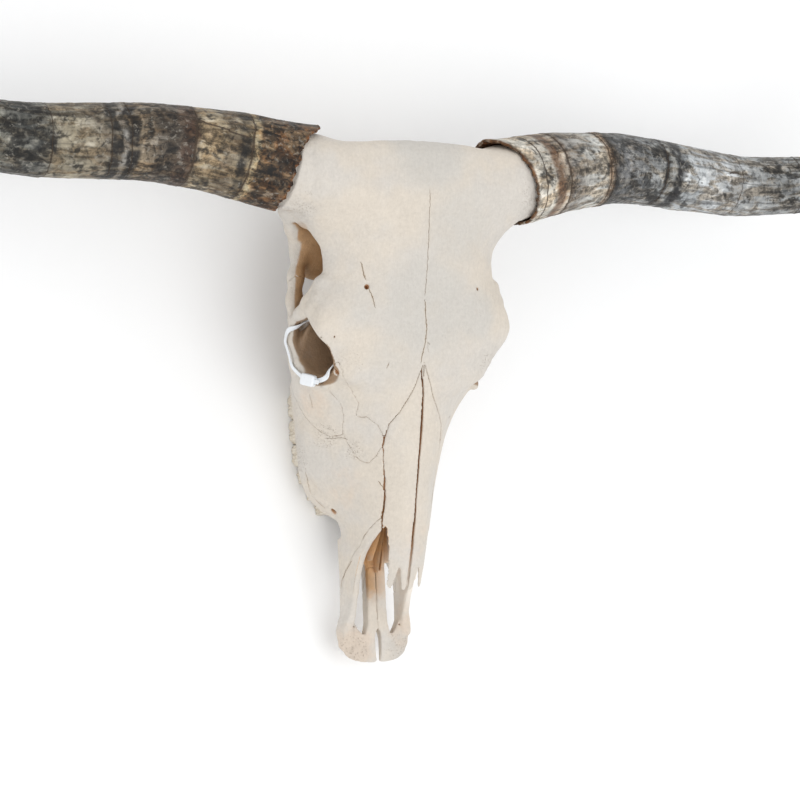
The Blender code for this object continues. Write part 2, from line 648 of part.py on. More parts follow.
def cable_tie(collection, cutters):
    """A flat closed band with its locking head, round the rim of the right eye."""
    route = tie_route()
    along = np.roll(route, -1, axis=0) - np.roll(route, 1, axis=0)
    along /= np.linalg.norm(along, axis=1)[:, None]
    up = skull_normal(route)
    for _ in range(6):
        up = up + np.roll(up, 1, axis=0) + np.roll(up, -1, axis=0)
        up -= np.sum(up * along, axis=1)[:, None] * along
        up /= np.linalg.norm(up, axis=1)[:, None]
    across = np.cross(along, up)
    mesh = bpy.data.meshes.new("cable_tie")
    rows = []
    for w, h in ((-0.5, -0.5), (0.5, -0.5), (0.5, 0.5), (-0.5, 0.5)):
        ring = route + across * TIE_WIDTH * w + up * TIE_THICKNESS * h
        rows.append(np.stack([-ring[:, 0], ring[:, 1] - ORIGIN_Y, ring[:, 2]], axis=1) * MM)
    count = len(route)
    faces = []
    for k in range(4):
        n = (k + 1) % 4
        faces += [(k * count + i, n * count + i, n * count + (i + 1) % count, k * count + (i + 1) % count)
                  for i in range(count)]
    mesh.from_pydata(np.concatenate(rows).tolist(), [], faces)
    mesh.update()
    if signed_volume(mesh) < 0:
        mesh.flip_normals()
    band = new_object("cable_tie", mesh, collection)
    head = tie_head(route[TIE_HEAD_AT], along[TIE_HEAD_AT], across[TIE_HEAD_AT], up[TIE_HEAD_AT], cutters)
    boolean(band, head, "UNION")
    bpy.data.objects.remove(head)
    return band


def tie_head(centre, along, across, up, collection):
    """The bevelled locking block, raised off the bone so that the band runs through its foot."""
    mesh = bpy.data.meshes.new("tie_head")
    block = bmesh.new()
    bmesh.ops.create_cube(block, size=1.0)
    middle = centre + up * (TIE_HEAD[2] - TIE_THICKNESS) / 2
    for corner in block.verts:
        w = corner.co
        at = middle + along * TIE_HEAD[0] * w.x + across * TIE_HEAD[1] * w.y + up * TIE_HEAD[2] * w.z
        corner.co = Vector((-at[0], at[1] - ORIGIN_Y, at[2])) * MM
    bmesh.ops.recalc_face_normals(block, faces=block.faces)
    bmesh.ops.bevel(block, geom=block.edges, offset=0.8 * MM, segments=1, affect="EDGES")
    block.to_mesh(mesh)
    block.free()
    return new_object("tie_head", mesh, collection)


# ---------------------------------------------------------------- the whole part
def build():
    """Model the skull, its horns and the tie, and dress each node."""
    for old in list(bpy.data.objects):
        bpy.data.objects.remove(old)
    parts = bpy.data.collections.new("longhorn_steer_skull")
    cutters = bpy.data.collections.new("cutters")
    bpy.context.scene.collection.children.link(parts)
    bpy.context.scene.collection.children.link(cutters)
    bone = material("dry_bone", (0.80, 0.73, 0.62), 0.6)
    keratin = material("horn_keratin", (0.30, 0.27, 0.23), 0.45)
    nylon = material("white_nylon", (0.85, 0.87, 0.90), 0.35)
    skull = whole_skull(parts)
    skull.name = "cranium"
    bones = part_bones(skull, parts, cutters) + [skull]
    horns = [horn("right", -1, parts, cutters), horn("left", 1, parts, cutters)]
    tie = cable_tie(parts, cutters)
    for group, look in ((bones, bone), (horns, keratin), ([tie], nylon)):
        for obj in group:
            obj.data.materials.clear()
            obj.data.materials.append(look)
            obj.data.shade_smooth()
            obj.data.set_sharp_from_angle(angle=math.radians(35))


if __name__ == "__main__":
    build()
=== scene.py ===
"""Looks of a longhorn steer skull that lies on its cheek teeth, seen from above.

The bones are worked out as a field of distances in millimetres, below zero inside bone, on a
fine lattice.  Each bone is what the field leaves on its own side of the sutures.  Skull
coordinates are x to the animal's left, y back from the muzzle tip and z up from the floor.
"""
import logging
import math
from dataclasses import dataclass
from enum import Enum
from functools import reduce
from typing import Callable, Iterable, Sequence

import bpy
import numpy as np
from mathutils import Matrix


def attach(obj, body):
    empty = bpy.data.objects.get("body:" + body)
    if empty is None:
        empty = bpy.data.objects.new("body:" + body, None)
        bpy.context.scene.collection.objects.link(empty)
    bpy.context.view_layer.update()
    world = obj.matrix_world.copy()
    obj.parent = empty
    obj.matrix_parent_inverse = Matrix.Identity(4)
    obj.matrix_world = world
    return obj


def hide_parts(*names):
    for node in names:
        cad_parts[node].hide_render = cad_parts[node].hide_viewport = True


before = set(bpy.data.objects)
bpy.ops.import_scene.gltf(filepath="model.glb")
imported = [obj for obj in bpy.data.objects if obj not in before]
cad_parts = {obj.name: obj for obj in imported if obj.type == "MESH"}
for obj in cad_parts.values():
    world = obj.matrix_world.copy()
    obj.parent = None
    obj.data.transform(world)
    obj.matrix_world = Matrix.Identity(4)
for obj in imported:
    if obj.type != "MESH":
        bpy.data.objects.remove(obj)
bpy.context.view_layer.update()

import openvdb
from mathutils import Matrix, Vector

Array = np.ndarray
Place = tuple[Array, Array, Array]
Stations = Sequence[Sequence[float]]
Triple = tuple[float, float, float]
Colour = Triple
Counts = tuple[int, int, int]
Window = tuple[slice, slice, slice]
Mesh, Material, Socket = bpy.types.Mesh, bpy.types.Material, bpy.types.NodeSocket
LOG = logging.getLogger("skull")

MM = 0.001                         # one millimetre in metres
ORIGIN = np.array([0, 301.0, 0])   # the model's origin, behind the muzzle tip
STEP = 1.25                        # edge of a lattice cell
BLOCK = 16                         # cells along the edge of a block that is worked out at once
BOUND = 8.0                        # field value kept where no surface is near
TRIANGLES = 190000                 # the most that one bone keeps
CORE_WAY = (1.0, 0.215, -0.11)     # out along the left horn's core
CORE_AXIS = [a / math.hypot(*CORE_WAY) for a in CORE_WAY]


class Side(Enum):
    """The animal's two sides, valued by the sign of x."""

    RIGHT = -1
    LEFT = 1

    @property
    def tag(self) -> str:
        """Name of the side in piece names."""
        return self.name.lower()


# ---- curves and fields
def curve(stations: Stations, t: Array | float) -> Array:
    """Smooth curve through (t, value) stations that never overshoots between two of them.

    Args:
        stations: rows of t and the value there, t rising.
        t: where the curve is wanted.

    Returns:
        The curve's values: cubic Hermite pieces with harmonic-mean slopes.
    """
    knots = np.array([s[0] for s in stations], float)
    values = np.array([s[1] for s in stations], float)
    step = np.diff(knots)
    slope = np.diff(values) / step
    same = slope[:-1] * slope[1:] > 0
    inner = np.zeros(len(slope) - 1)
    inner[same] = 2 * slope[:-1][same] * slope[1:][same] / (slope[:-1] + slope[1:])[same]
    tangent = np.concatenate([slope[:1], inner, slope[-1:]])
    t = np.clip(np.asarray(t, float), knots[0], knots[-1])
    i = np.clip(np.searchsorted(knots, t, side="right") - 1, 0, len(step) - 1)
    u = (t - knots[i]) / step[i]
    made = ((2 * u**3 - 3 * u**2 + 1) * values[i] + (u**3 - 2 * u**2 + u) * step[i] * tangent[i]
            + (3 * u**2 - 2 * u**3) * values[i + 1] + (u**3 - u**2) * step[i] * tangent[i + 1])
    return made.astype(np.float32)


def curves(stations: Stations, t: Array) -> list[Array]:
    """A smooth curve for each column of the stations that follows their t."""
    return [curve([(s[0], s[i]) for s in stations], t) for i in range(1, len(stations[0]))]


def join(a: Array, b: Array, blend: float) -> Array:
    """Union of two fields: the lower value, with a quadratic fillet as wide as the blend."""
    h = np.clip(0.5 + 0.5 * (b - a) / blend, 0, 1)
    return b * (1 - h) + a * h - blend * h * (1 - h)


def common(a: Array, b: Array, blend: float) -> Array:
    """What two fields share, with its edge rounded by the blend."""
    return -join(-a, -b, blend)


def carve(a: Array, b: Array, blend: float) -> Array:
    """Field a with b taken out of it."""
    return common(a, -b, blend)


def slab(value: Array, low: Array | float, high: Array | float) -> Array:
    """Field of the layer where the value lies between low and high."""
    return np.maximum(low - value, value - high)


def ellipsoid(p: Place, centre: Sequence[float], radii: Sequence[float]) -> Array:
    """Field of an ellipsoid: its scaled radius less one, times its smallest radius."""
    squares = [((p[i] - centre[i]) / radii[i]) ** 2 for i in range(3)]
    return (np.sqrt(squares[0] + squares[1] + squares[2]) - 1) * min(radii)


def rod(p: Place, start: Sequence[float], end: Sequence[float], squash: Sequence[float]) -> Array:
    """Field of a tapered rod with round ends.

    Args:
        p: the places.
        start: x, y, z and radius at one end.
        end: the same at the other end.
        squash: what stretches its section along each axis.

    Returns:
        Distance to the nearest point of the rod's line, less the radius there.
    """
    axis = [end[i] - start[i] for i in range(3)]
    square = sum(a * a for a in axis)
    t = np.clip(sum((p[i] - start[i]) * (axis[i] / square) for i in range(3)), 0, 1)
    away = sum(((p[i] - start[i] - t * axis[i]) / squash[i]) ** 2 for i in range(3))
    return np.sqrt(away) - (start[3] + (end[3] - start[3]) * t)


def chain(p: Place, points: Stations, blend: float, squash: Sequence[float] = (1, 1, 1)) -> Array:
    """Rods end to end through (x, y, z, radius) points, joined with the blend."""
    made = rod(p, points[0], points[1], squash)
    for a, b in zip(points[1:-1], points[2:]):
        made = join(made, rod(p, a, b, squash), blend)
    return made


def smooth(low: float, high: float, value: Array) -> Array:
    """Rise from 0 at low to 1 at high: 3u squared less 2u cubed."""
    u = np.clip((value - low) / (high - low), 0, 1)
    return u * u * (3 - 2 * u)


class Noise:
    """Smooth random values in space: a periodic lattice of seeded numbers, blended between."""

    size = 32

    def __init__(self, seed: int) -> None:
        """Draw the lattice's numbers, from -1 to 1."""
        self.grid = np.random.default_rng(seed).uniform(-1, 1, (self.size,) * 3).astype(np.float32)

    def at(self, points: Array, scale: float | Sequence[float], octaves: int = 1) -> Array:
        """Values at points.

        Args:
            points: rows of three coordinates.
            scale: size of one lattice cell, or one for each axis.
            octaves: how many layers are added, each half as large and as strong.

        Returns:
            One value for each row: trilinear blends of the eight corners round it.
        """
        total = np.zeros(len(points), np.float32)
        cell = np.asarray(scale, float) * np.ones(3)
        for k in range(octaves):
            q = points / cell * 2**k + 7.3 * k
            i = np.floor(q).astype(int)
            u = q - i
            u = u * u * (3 - 2 * u)
            for corner in np.ndindex(2, 2, 2):
                weight = reduce(np.multiply, np.where(corner, u, 1 - u).T)
                value = self.grid[tuple(((i + corner) % self.size).T)]
                total += (weight * value * 0.5**k).astype(np.float32)
        return total


@dataclass(frozen=True)
class Lattice:
    """Regular points in skull coordinates; low is the first point, counts how many each way."""

    low: Triple
    counts: Counts
    step: float = STEP

    def axis(self, i: int, start: int = 0, stop: int | None = None) -> Array:
        """Coordinates along an axis between two indices."""
        return (self.low[i] + self.step * np.arange(self.counts[i])[start:stop]).astype(np.float32)

    def whole(self) -> Window:
        """Index slices that hold the lattice."""
        return tuple(slice(0, n) for n in self.counts)

    def place(self, part: Window) -> Place:
        """Coordinates of part of the lattice, ready to broadcast."""
        x, y, z = (self.axis(i, s.start or 0, s.stop) for i, s in enumerate(part))
        return x[:, None, None], y[None, :, None], z[None, None, :]

    def window(self, low: Sequence[float], high: Sequence[float]) -> Window:
        """Index slices that hold a box."""
        first = [max(0, int((low[i] - self.low[i]) / self.step)) for i in range(3)]
        last = [min(self.counts[i], int((high[i] - self.low[i]) / self.step) + 2) for i in range(3)]
        return tuple(slice(a, max(a, b)) for a, b in zip(first, last))

    def part(self, window: Window) -> "Lattice":
        """The lattice of a window."""
        low = tuple(self.low[i] + self.step * window[i].start for i in range(3))
        return Lattice(low, tuple(s.stop - s.start for s in window), self.step)

    def waves(self, seed: int, cell: float) -> Array:
        """Smooth noise on every point: seeded numbers spread by cubic B-spline weights per axis."""
        rng = np.random.default_rng(seed)
        weights = []
        for i in range(3):
            t = self.axis(i) / cell
            k = np.arange(math.floor(t[0]) - 1, math.floor(t[-1]) + 3)
            d = np.abs(t[:, None] - k[None, :])
            near = 2 / 3 - d**2 + d**3 / 2
            far = np.clip(2 - d, 0, None) ** 3 / 6
            weights.append(np.where(d < 1, near, far).astype(np.float32))
        made = rng.uniform(-1, 1, tuple(w.shape[1] for w in weights)).astype(np.float32)
        for i, w in enumerate(weights):
            made = np.moveaxis(np.tensordot(w, made, axes=(1, i)), 0, i)
        return made

    def fill(self, field: Callable[[Place], Array]) -> Array:
        """Work a field out in blocks near its surface; far blocks keep the bound's sign.

        Args:
            field: gives the distance at places.

        Returns:
            The field on the lattice, held within the bound.
        """
        made = np.empty(self.counts, np.float32)
        half = BLOCK * self.step / 2
        middle = field(tuple(c[::BLOCK, ::BLOCK, ::BLOCK] + half for c in self.place(self.whole())))
        reach = 1.5 * math.hypot(half, half, half)      # half a block's diagonal, and half as much more
        for cell in np.ndindex(middle.shape):
            block = tuple(slice(BLOCK * n, BLOCK * (n + 1)) for n in cell)
            if abs(middle[cell]) > reach:
                made[block] = math.copysign(BOUND, middle[cell])
            else:
                made[block] = np.clip(field(self.place(block)), -BOUND, BOUND)
        return made


# ---- the skull's shape
@dataclass(frozen=True)
class SkullShape:
    """The skull as a field: outlines of one half, mirrored at the midline, in millimetres."""

    length: float = 514.0
    palate_z: float = 38.0
    horn_base: Triple = (122.0, 487.0, 159.0)
    nose_arch: float = 0.016    # fall of the nose's roof with the square of x
    core_radius: float = 38.0
    core_taper: float = 0.07
    core_length: float = 42.0
    top_line: Stations = ((60, 106), (78, 114), (110, 126), (170, 142), (214, 153.5), (259, 163),
                          (298, 169), (323, 174), (357, 182), (387, 188), (441, 198), (470, 204),
                          (495, 206), (515, 203))
    plate_edge: Stations = ((270, 60), (285, 84), (300, 94), (312, 103), (325, 111), (335, 113.5),
                            (346, 112.5), (358, 109), (367, 104.5), (377, 101), (386, 99),
                            (400, 98.5), (412, 100.5), (420, 104), (432, 111), (443, 117), (520, 118))
    plate_drop: Stations = ((270, 14), (300, 17), (330, 15), (360, 24), (387, 32), (415, 36),
                            (440, 28), (465, 8), (500, 10), (520, 16))
    face_levels: Sequence[Stations] = (
        ((60, 33), (110, 35), (135, 36), (145, 39), (153, 46), (163, 57), (172, 64.5), (182, 69),
         (200, 72), (222, 74), (250, 75), (285, 76), (310, 62), (345, 40)),
        ((60, 33), (110, 35.5), (135, 37), (152, 42), (175, 56), (200, 68), (222, 76), (240, 81),
         (262, 87), (285, 95), (315, 101), (335, 98), (352, 84)),
        ((60, 30), (110, 32), (135, 34), (152, 37), (175, 43), (200, 51), (222, 60), (240, 68),
         (259, 77), (275, 88), (290, 95), (345, 92)),
        ((60, 18), (110, 22), (152, 25), (200, 29), (222, 33), (240, 39), (259, 50), (275, 62),
         (290, 74), (345, 84)))
    face_low: Stations = ((60, 34), (110, 37), (146, 38), (160, 26), (180, 23), (285, 24), (300, 40),
                          (320, 62), (345, 66))
    side_wall_top: Stations = ((0, 38), (34, 45), (50, 51), (65, 58), (80, 64), (95, 72), (110, 83),
                               (125, 103), (138, 122), (150, 142))

    def face_width(self, y: Array, z: Array) -> Array:
        """Half-width of the face: a cubic through four levels between the palate and the roof."""
        low = curve(self.face_low, y)
        u = np.clip((z - low) / (curve(self.top_line, y) - low), 0, 1)
        w = [curve(level, y) for level in self.face_levels]
        return (w[0] * (1 - 3 * u) * (1 - 1.5 * u) * (1 - u) + w[1] * 9 * u * (1 - 1.5 * u) * (1 - u)
                + w[2] * 4.5 * u * (3 * u - 1) * (1 - u) + w[3] * u * (1 - 3 * u) * (1 - 1.5 * u))

    def roof(self, x: Array, y: Array) -> Array:
        """Height of the forehead: the top line, lower with the cube of the distance aside."""
        share = np.minimum(x / curve(self.plate_edge, y), 1.15)
        return curve(self.top_line, y) - curve(self.plate_drop, y) * share**3

    def face(self, p: Place) -> Array:
        """Muzzle and cheeks from the nasal tips to the eyes, vaulted between the teeth."""
        x, y, z = p
        roof = curve(self.top_line, y) - self.nose_arch * x**2 * curve(((60, 1), (200, 1), (290, 0.25)), y)
        shell = common(x - self.face_width(y, z), z - roof, 16)
        shell = common(shell, curve(self.face_low, y) - z, 8)
        vault = common(x - curve(((60, 20), (140, 26), (165, 34), (200, 46), (290, 48)), y),
                       z - self.palate_z - 3 + 0.002 * x**2, 8)
        return common(carve(shell, vault, 6), slab(y, 70, 350), 6)

    def nose(self, p: Place) -> Array:
        """The open nose behind the nasal tips, 150 mm deep, with the notch in each nasal bone."""
        x, y, z = p
        wall = curve(((60, 4.2), (150, 4.5), (215, 30)), y)
        ceiling = curve(self.top_line, y) - self.nose_arch * x**2 - curve(((60, 4), (140, 5), (215, 40)), y)
        inside = common(x - (self.face_width(y, z) - wall), z - ceiling, 6)
        inside = common(inside, 45.5 - z, 6)
        front = common(z - ceiling + 0.5, curve(self.side_wall_top, y) - z, 2)
        front = common(front, slab(y, 40, 150), 2)
        notch = rod(p, (11, 60, 112, 7.5), (11, 93, 118, 1), (1, 1, 3))
        front = np.minimum(front, common(notch, slab(y, 40, 100), 1))
        return join(common(inside, slab(y, 40, 208), 5), front, 2)

    def muzzle(self, p: Place) -> Array:
        """The two premaxillae: a flat fork, its side blades and the palatine processes."""
        x, y, z = p
        outer = curve(((-1, 12), (3, 26), (10, 35.5), (22, 41), (34, 41.5), (42, 39.5), (52, 36.5),
                       (95, 35), (130, 35)), y)
        half = curve(((0, 3), (20, 4), (34, 5.5), (60, 6), (100, 6)), y)
        level = z + 0.0045 * x**2
        plate = common(x - outer, slab(level, 40.5 - half, 40.5 + half), 4)
        plate = common(plate, slab(y, 0, 130), 3)
        blade_in = outer - np.maximum(14 - 0.4 * (z - 40), 4)
        blade = common(slab(x, blade_in, outer - 1.5 + 0.04 * (z - 40)),
                       slab(z, 35, curve(self.side_wall_top, y)), 2.5)
        plate = join(plate, common(blade, slab(y, 22, 120), 8), 3)
        process = common(x - 10.8, slab(z, 38, curve(((20, 41), (50, 45), (140, 52)), y)), 3)
        groove = ellipsoid(p, (0, 95, 58), (5, 80, 9))
        plate = join(plate, carve(common(process, slab(y, 30, 150), 4), groove, 2), 2)
        slit = curve(((0, 2.2), (6, 2.6), (14, 3.3), (24, 3.6), (30, 2.6), (34, 0.6)), y)
        return carve(plate, common(x - slit, y - 34, 1), 1.5)

    def fissure(self, p: Place) -> Array:
        """The long opening through the muzzle's floor beside its middle."""
        x, y, z = p
        sides = slab(x, curve(((28, 15), (45, 11.5), (100, 10.8)), y),
                     curve(((28, 18), (45, 27), (80, 28), (104, 20)), y))
        return common(common(sides, slab(y, 29, 102), 2), z - 60, 2)

    def forehead(self, p: Place) -> Array:
        """The broad plate that roofs the eyes and the temples."""
        x, y, z = p
        top = self.roof(x, y)
        thick = curve(((270, 24), (335, 26), (356, 18), (376, 11), (412, 11), (428, 20), (446, 46),
                       (520, 60)), y)
        plate = common(x - curve(self.plate_edge, y), slab(z, top - thick, top), 8)
        return common(plate, slab(y, 268, self.length + 3.5 - 0.0008 * x**2), 12)

    def braincase(self, p: Place) -> Array:
        """The brain's box under the forehead and the back of the head."""
        x, y, z = p
        side = curve(((290, 30), (330, 38), (360, 50), (400, 60), (430, 66), (470, 74), (515, 70)), y)
        base = curve(((290, 52), (340, 60), (380, 66), (440, 64), (480, 60), (510, 66)), y)
        box = common(x - side - 0.10 * (z - 110), slab(z, base + 0.004 * x**2, self.roof(x, y) - 4), 22)
        box = common(box, slab(y, 290, self.length - 12), 10)
        nape = ellipsoid(p, (0, 468, 126), (96, 38, 74))
        keel = chain(p, ((0, 500, 168, 12), (0, 498, 140, 14), (0, 490, 112, 10)), 10)
        return join(join(box, nape, 14), keel, 12)

    def horn_neck(self, p: Place) -> Array:
        """The root of the horn core, from the corner of the forehead to the horn's rim."""
        bx, by, bz = self.horn_base
        neck = chain(p, ((62, by - 16, bz + 6, 36), (bx - 8, by - 2, bz, 39.5),
                         (bx + 18, by + 3.5, bz - 2, 40.5)), 6)
        return common(neck, self.core_place(p)[0] - 16, 2)

    def core_place(self, p: Place) -> tuple[Array, Array]:
        """Distance along the horn core from the rim, and distance from the core's axis."""
        offset = [p[i] - self.horn_base[i] for i in range(3)]
        along = sum(offset[i] * CORE_AXIS[i] for i in range(3))
        away = sum((offset[i] - along * CORE_AXIS[i]) ** 2 for i in range(3))
        return along, np.sqrt(away)

    def horn_fit(self, body: Array, p: Place) -> Array:
        """The body with a shoulder for the horn's wall and the core's stub on it."""
        along, radius = self.core_place(p)
        wall = common(15 - along, self.core_radius + 0.4 - radius, 2)
        core = common(radius - (self.core_radius - self.core_taper * along),
                      slab(along, -10, self.core_length), 3)
        return join(carve(body, wall, 2), core, 2)

    def arch(self, p: Place) -> Array:
        """The bone under the eye, the bar behind it and the arch to the temple."""
        rim = chain(p, ((87, 280, 122, 5.5), (94, 284, 108, 5), (103.5, 303, 97, 4.2),
                        (108, 327, 95, 4.2), (107.5, 346, 101, 5)), 6)
        cheek = chain(p, ((72, 256, 78, 9), (84, 284, 79, 12), (91, 310, 82, 11), (100, 338, 88, 8)), 14)
        bar = chain(p, ((108, 346, 103, 5), (109, 351, 118, 6), (107, 361, 132, 6), (101, 378, 147, 6)), 6)
        back = chain(p, ((105, 350, 97, 7), (104, 368, 97, 7.5), (101.5, 392, 98, 7.5), (96, 414, 98, 7),
                         (91, 430, 98, 7), (68, 452, 90, 20)), 8, (1, 1, 0.9))
        crest = chain(p, ((91, 430, 99, 7), (104, 441, 109, 9), (117, 456, 124, 13)), 10)
        shelf = chain(p, ((70, 404, 84, 12), (72, 422, 92, 16), (76, 440, 104, 20)), 12, (1.6, 1, 1))
        web = chain(p, ((108.5, 349, 128, 5), (108, 352, 143, 6), (104, 363, 149, 6), (99, 378, 152, 5)), 6)
        ring = join(join(rim, cheek, 8), join(join(bar, web, 8), back, 6), 5)
        return join(join(ring, crest, 10), shelf, 8)

    def base(self, p: Place) -> Array:
        """Condyles, the processes beside them, the ear bullae and the pterygoid plates."""
        x, y, z = p
        condyle = chain(p, ((12, 488, 48, 9), (27, 500, 58, 15), (36, 502, 76, 13)), 10)
        process = chain(p, ((58, 474, 80, 16), (54, 482, 42, 11), (48, 486, 4, 6.5)), 8, (0.7, 1.3, 1))
        bulla = ellipsoid(p, (42, 440, 52), (12, 19, 20))
        ear = rod(p, (58, 452, 84, 15), (86, 460, 86, 9), (1, 1, 1))
        plate_low = curve(((284, 40), (320, 36), (346, 32), (362, 46), (384, 62)), y)
        wing = common(slab(x, curve(((284, 30), (384, 22)), y), curve(((284, 37), (384, 29)), y)),
                      slab(z, plate_low, 70), 3)
        made = join(join(condyle, process, 8), bulla, 6)
        return join(join(made, ear, 10), common(wing, slab(y, 280, 384), 4), 8)

    def hollows(self, p: Place) -> Array:
        """The hollows that openings show: orbit, temple, throat, brain door."""
        socket = join(ellipsoid(p, (103, 315, 127), (30, 29, 26)),
                      ellipsoid(p, (78, 320, 126), (30, 26, 23)), 10)
        behind = ellipsoid(p, (90, 352, 128), (13, 24, 15))
        temple = chain(p, ((87, 364, 118, 17), (82, 396, 116, 18), (84, 420, 122, 14), (94, 434, 132, 9)), 10,
                       (0.9, 1, 1.25))
        through = chain(p, ((87, 376, 96, 8), (84, 388, 80, 11)), 6, (1, 1.5, 1.4))
        made = join(join(socket, join(behind, temple, 10), 8), through, 8)
        throat = chain(p, ((0, 296, 44, 9), (0, 330, 50, 20), (0, 372, 48, 20)), 10, (1.15, 1, 0.8))
        door = rod(p, (0, 476, 84, 14), (0, 540, 78, 18), (1.15, 1, 1))
        return np.minimum(np.minimum(made, throat), door)

    def sockets(self, p: Place) -> Array:
        """The ridge of bone that holds the cheek teeth, a swelling over each root."""
        x, y, z = p
        middle = curve(((156, 34), (170, 41.5), (190, 50), (215, 56), (260, 58), (284, 56)), y)
        half = curve(((156, 7), (180, 9.5), (210, 11), (270, 11.5), (284, 9)), y)
        root = 1.1 * np.abs(np.sin(np.pi * (y - 156) / 10.7))
        row = common(np.abs(x - middle) - half - root, slab(z, 20, 44), 2.5)
        return common(row, slab(y, 154, 286), 3)

    def field(self, p: Place) -> Array:
        """The whole half of the skull, without its teeth."""
        body = join(self.face(p), self.forehead(p), 10)
        body = join(join(body, self.braincase(p), 12), self.horn_neck(p), 16)
        body = carve(body, self.hollows(p), 5)
        body = join(body, ellipsoid(p, (76, 322, 83), (25, 36, 16)), 8)
        body = join(join(body, self.arch(p), 6), self.base(p), 6)
        body = join(carve(body, self.nose(p), 2), self.muzzle(p), 4)
        body = join(carve(body, self.fissure(p), 1.5), self.sockets(p), 4)
        return np.maximum(self.horn_fit(body, p), -p[2])

    def at(self, points: Array) -> Array:
        """The skull's field at (x, y, z) rows of either side."""
        return self.field((np.abs(points[:, 0]), points[:, 1], points[:, 2]))

    def slope(self, points: Array) -> Array:
        """Direction away from the bone at (x, y, z) rows, from differences over 0.8 mm."""
        found = np.stack([self.at(points + shift) - self.at(points - shift) for shift in 0.4 * np.eye(3)],
                         axis=1)
        return found / np.maximum(np.linalg.norm(found, axis=1), 1e-6)[:, None]


# ---- wear and openings
class Work(Enum):
    """What a detail does to the bone."""

    CUT = "cut"
    ADD = "add"


@dataclass(frozen=True)
class Detail:
    """A chain of rods cut out of the bone or added to it, on one side or at the midline."""

    side: Side
    work: Work
    points: Stations
    blend: float

    def apply(self, lattice: Lattice, field: Array) -> None:
        """Change the field in place, only in the box round the chain."""
        rows = np.array(self.points, float)
        rows[:, 0] *= self.side.value
        reach = rows[:, 3].max() + 2 * self.blend + 2
        window = lattice.window(rows[:, :3].min(0) - reach, rows[:, :3].max(0) + reach)
        shape = chain(lattice.place(window), rows.tolist(), self.blend)
        tool = carve if self.work is Work.CUT else join
        field[window] = tool(field[window], shape, self.blend)


# ---- sutures and bones
@dataclass(frozen=True)
class Outline:
    """A closed outline, of (y, z) corners seen from the side or (x, y) corners seen from above."""

    corners: Stations
    from_above: bool = False

    def distance(self, p: Place) -> Array:
        """Signed distance to the outline in its own plane, below zero inside.

        Args:
            p: the places; only the outline's two coordinates count.

        Returns:
            Distance to the nearest edge, its sign from an even-odd count of crossed edges.
        """
        a, b = (np.abs(p[0]), p[1]) if self.from_above else (p[1], p[2])
        points = np.array(self.corners, float)
        nearest = np.float32(1e9)
        inside = np.zeros(np.broadcast(a, b).shape, bool)
        for (ax, ay), (bx, by) in zip(points, np.roll(points, -1, axis=0)):
            ex, ey = bx - ax, by - ay
            t = np.clip(((a - ax) * ex + (b - ay) * ey) / (ex * ex + ey * ey), 0, 1)
            nearest = np.minimum(nearest, (a - ax - t * ex) ** 2 + (b - ay - t * ey) ** 2)
            if ay != by:
                inside ^= ((ay > b) != (by > b)) & (a < (b - ay) * ex / ey + ax)
        return np.where(inside, -1, 1) * np.sqrt(nearest).astype(np.float32)


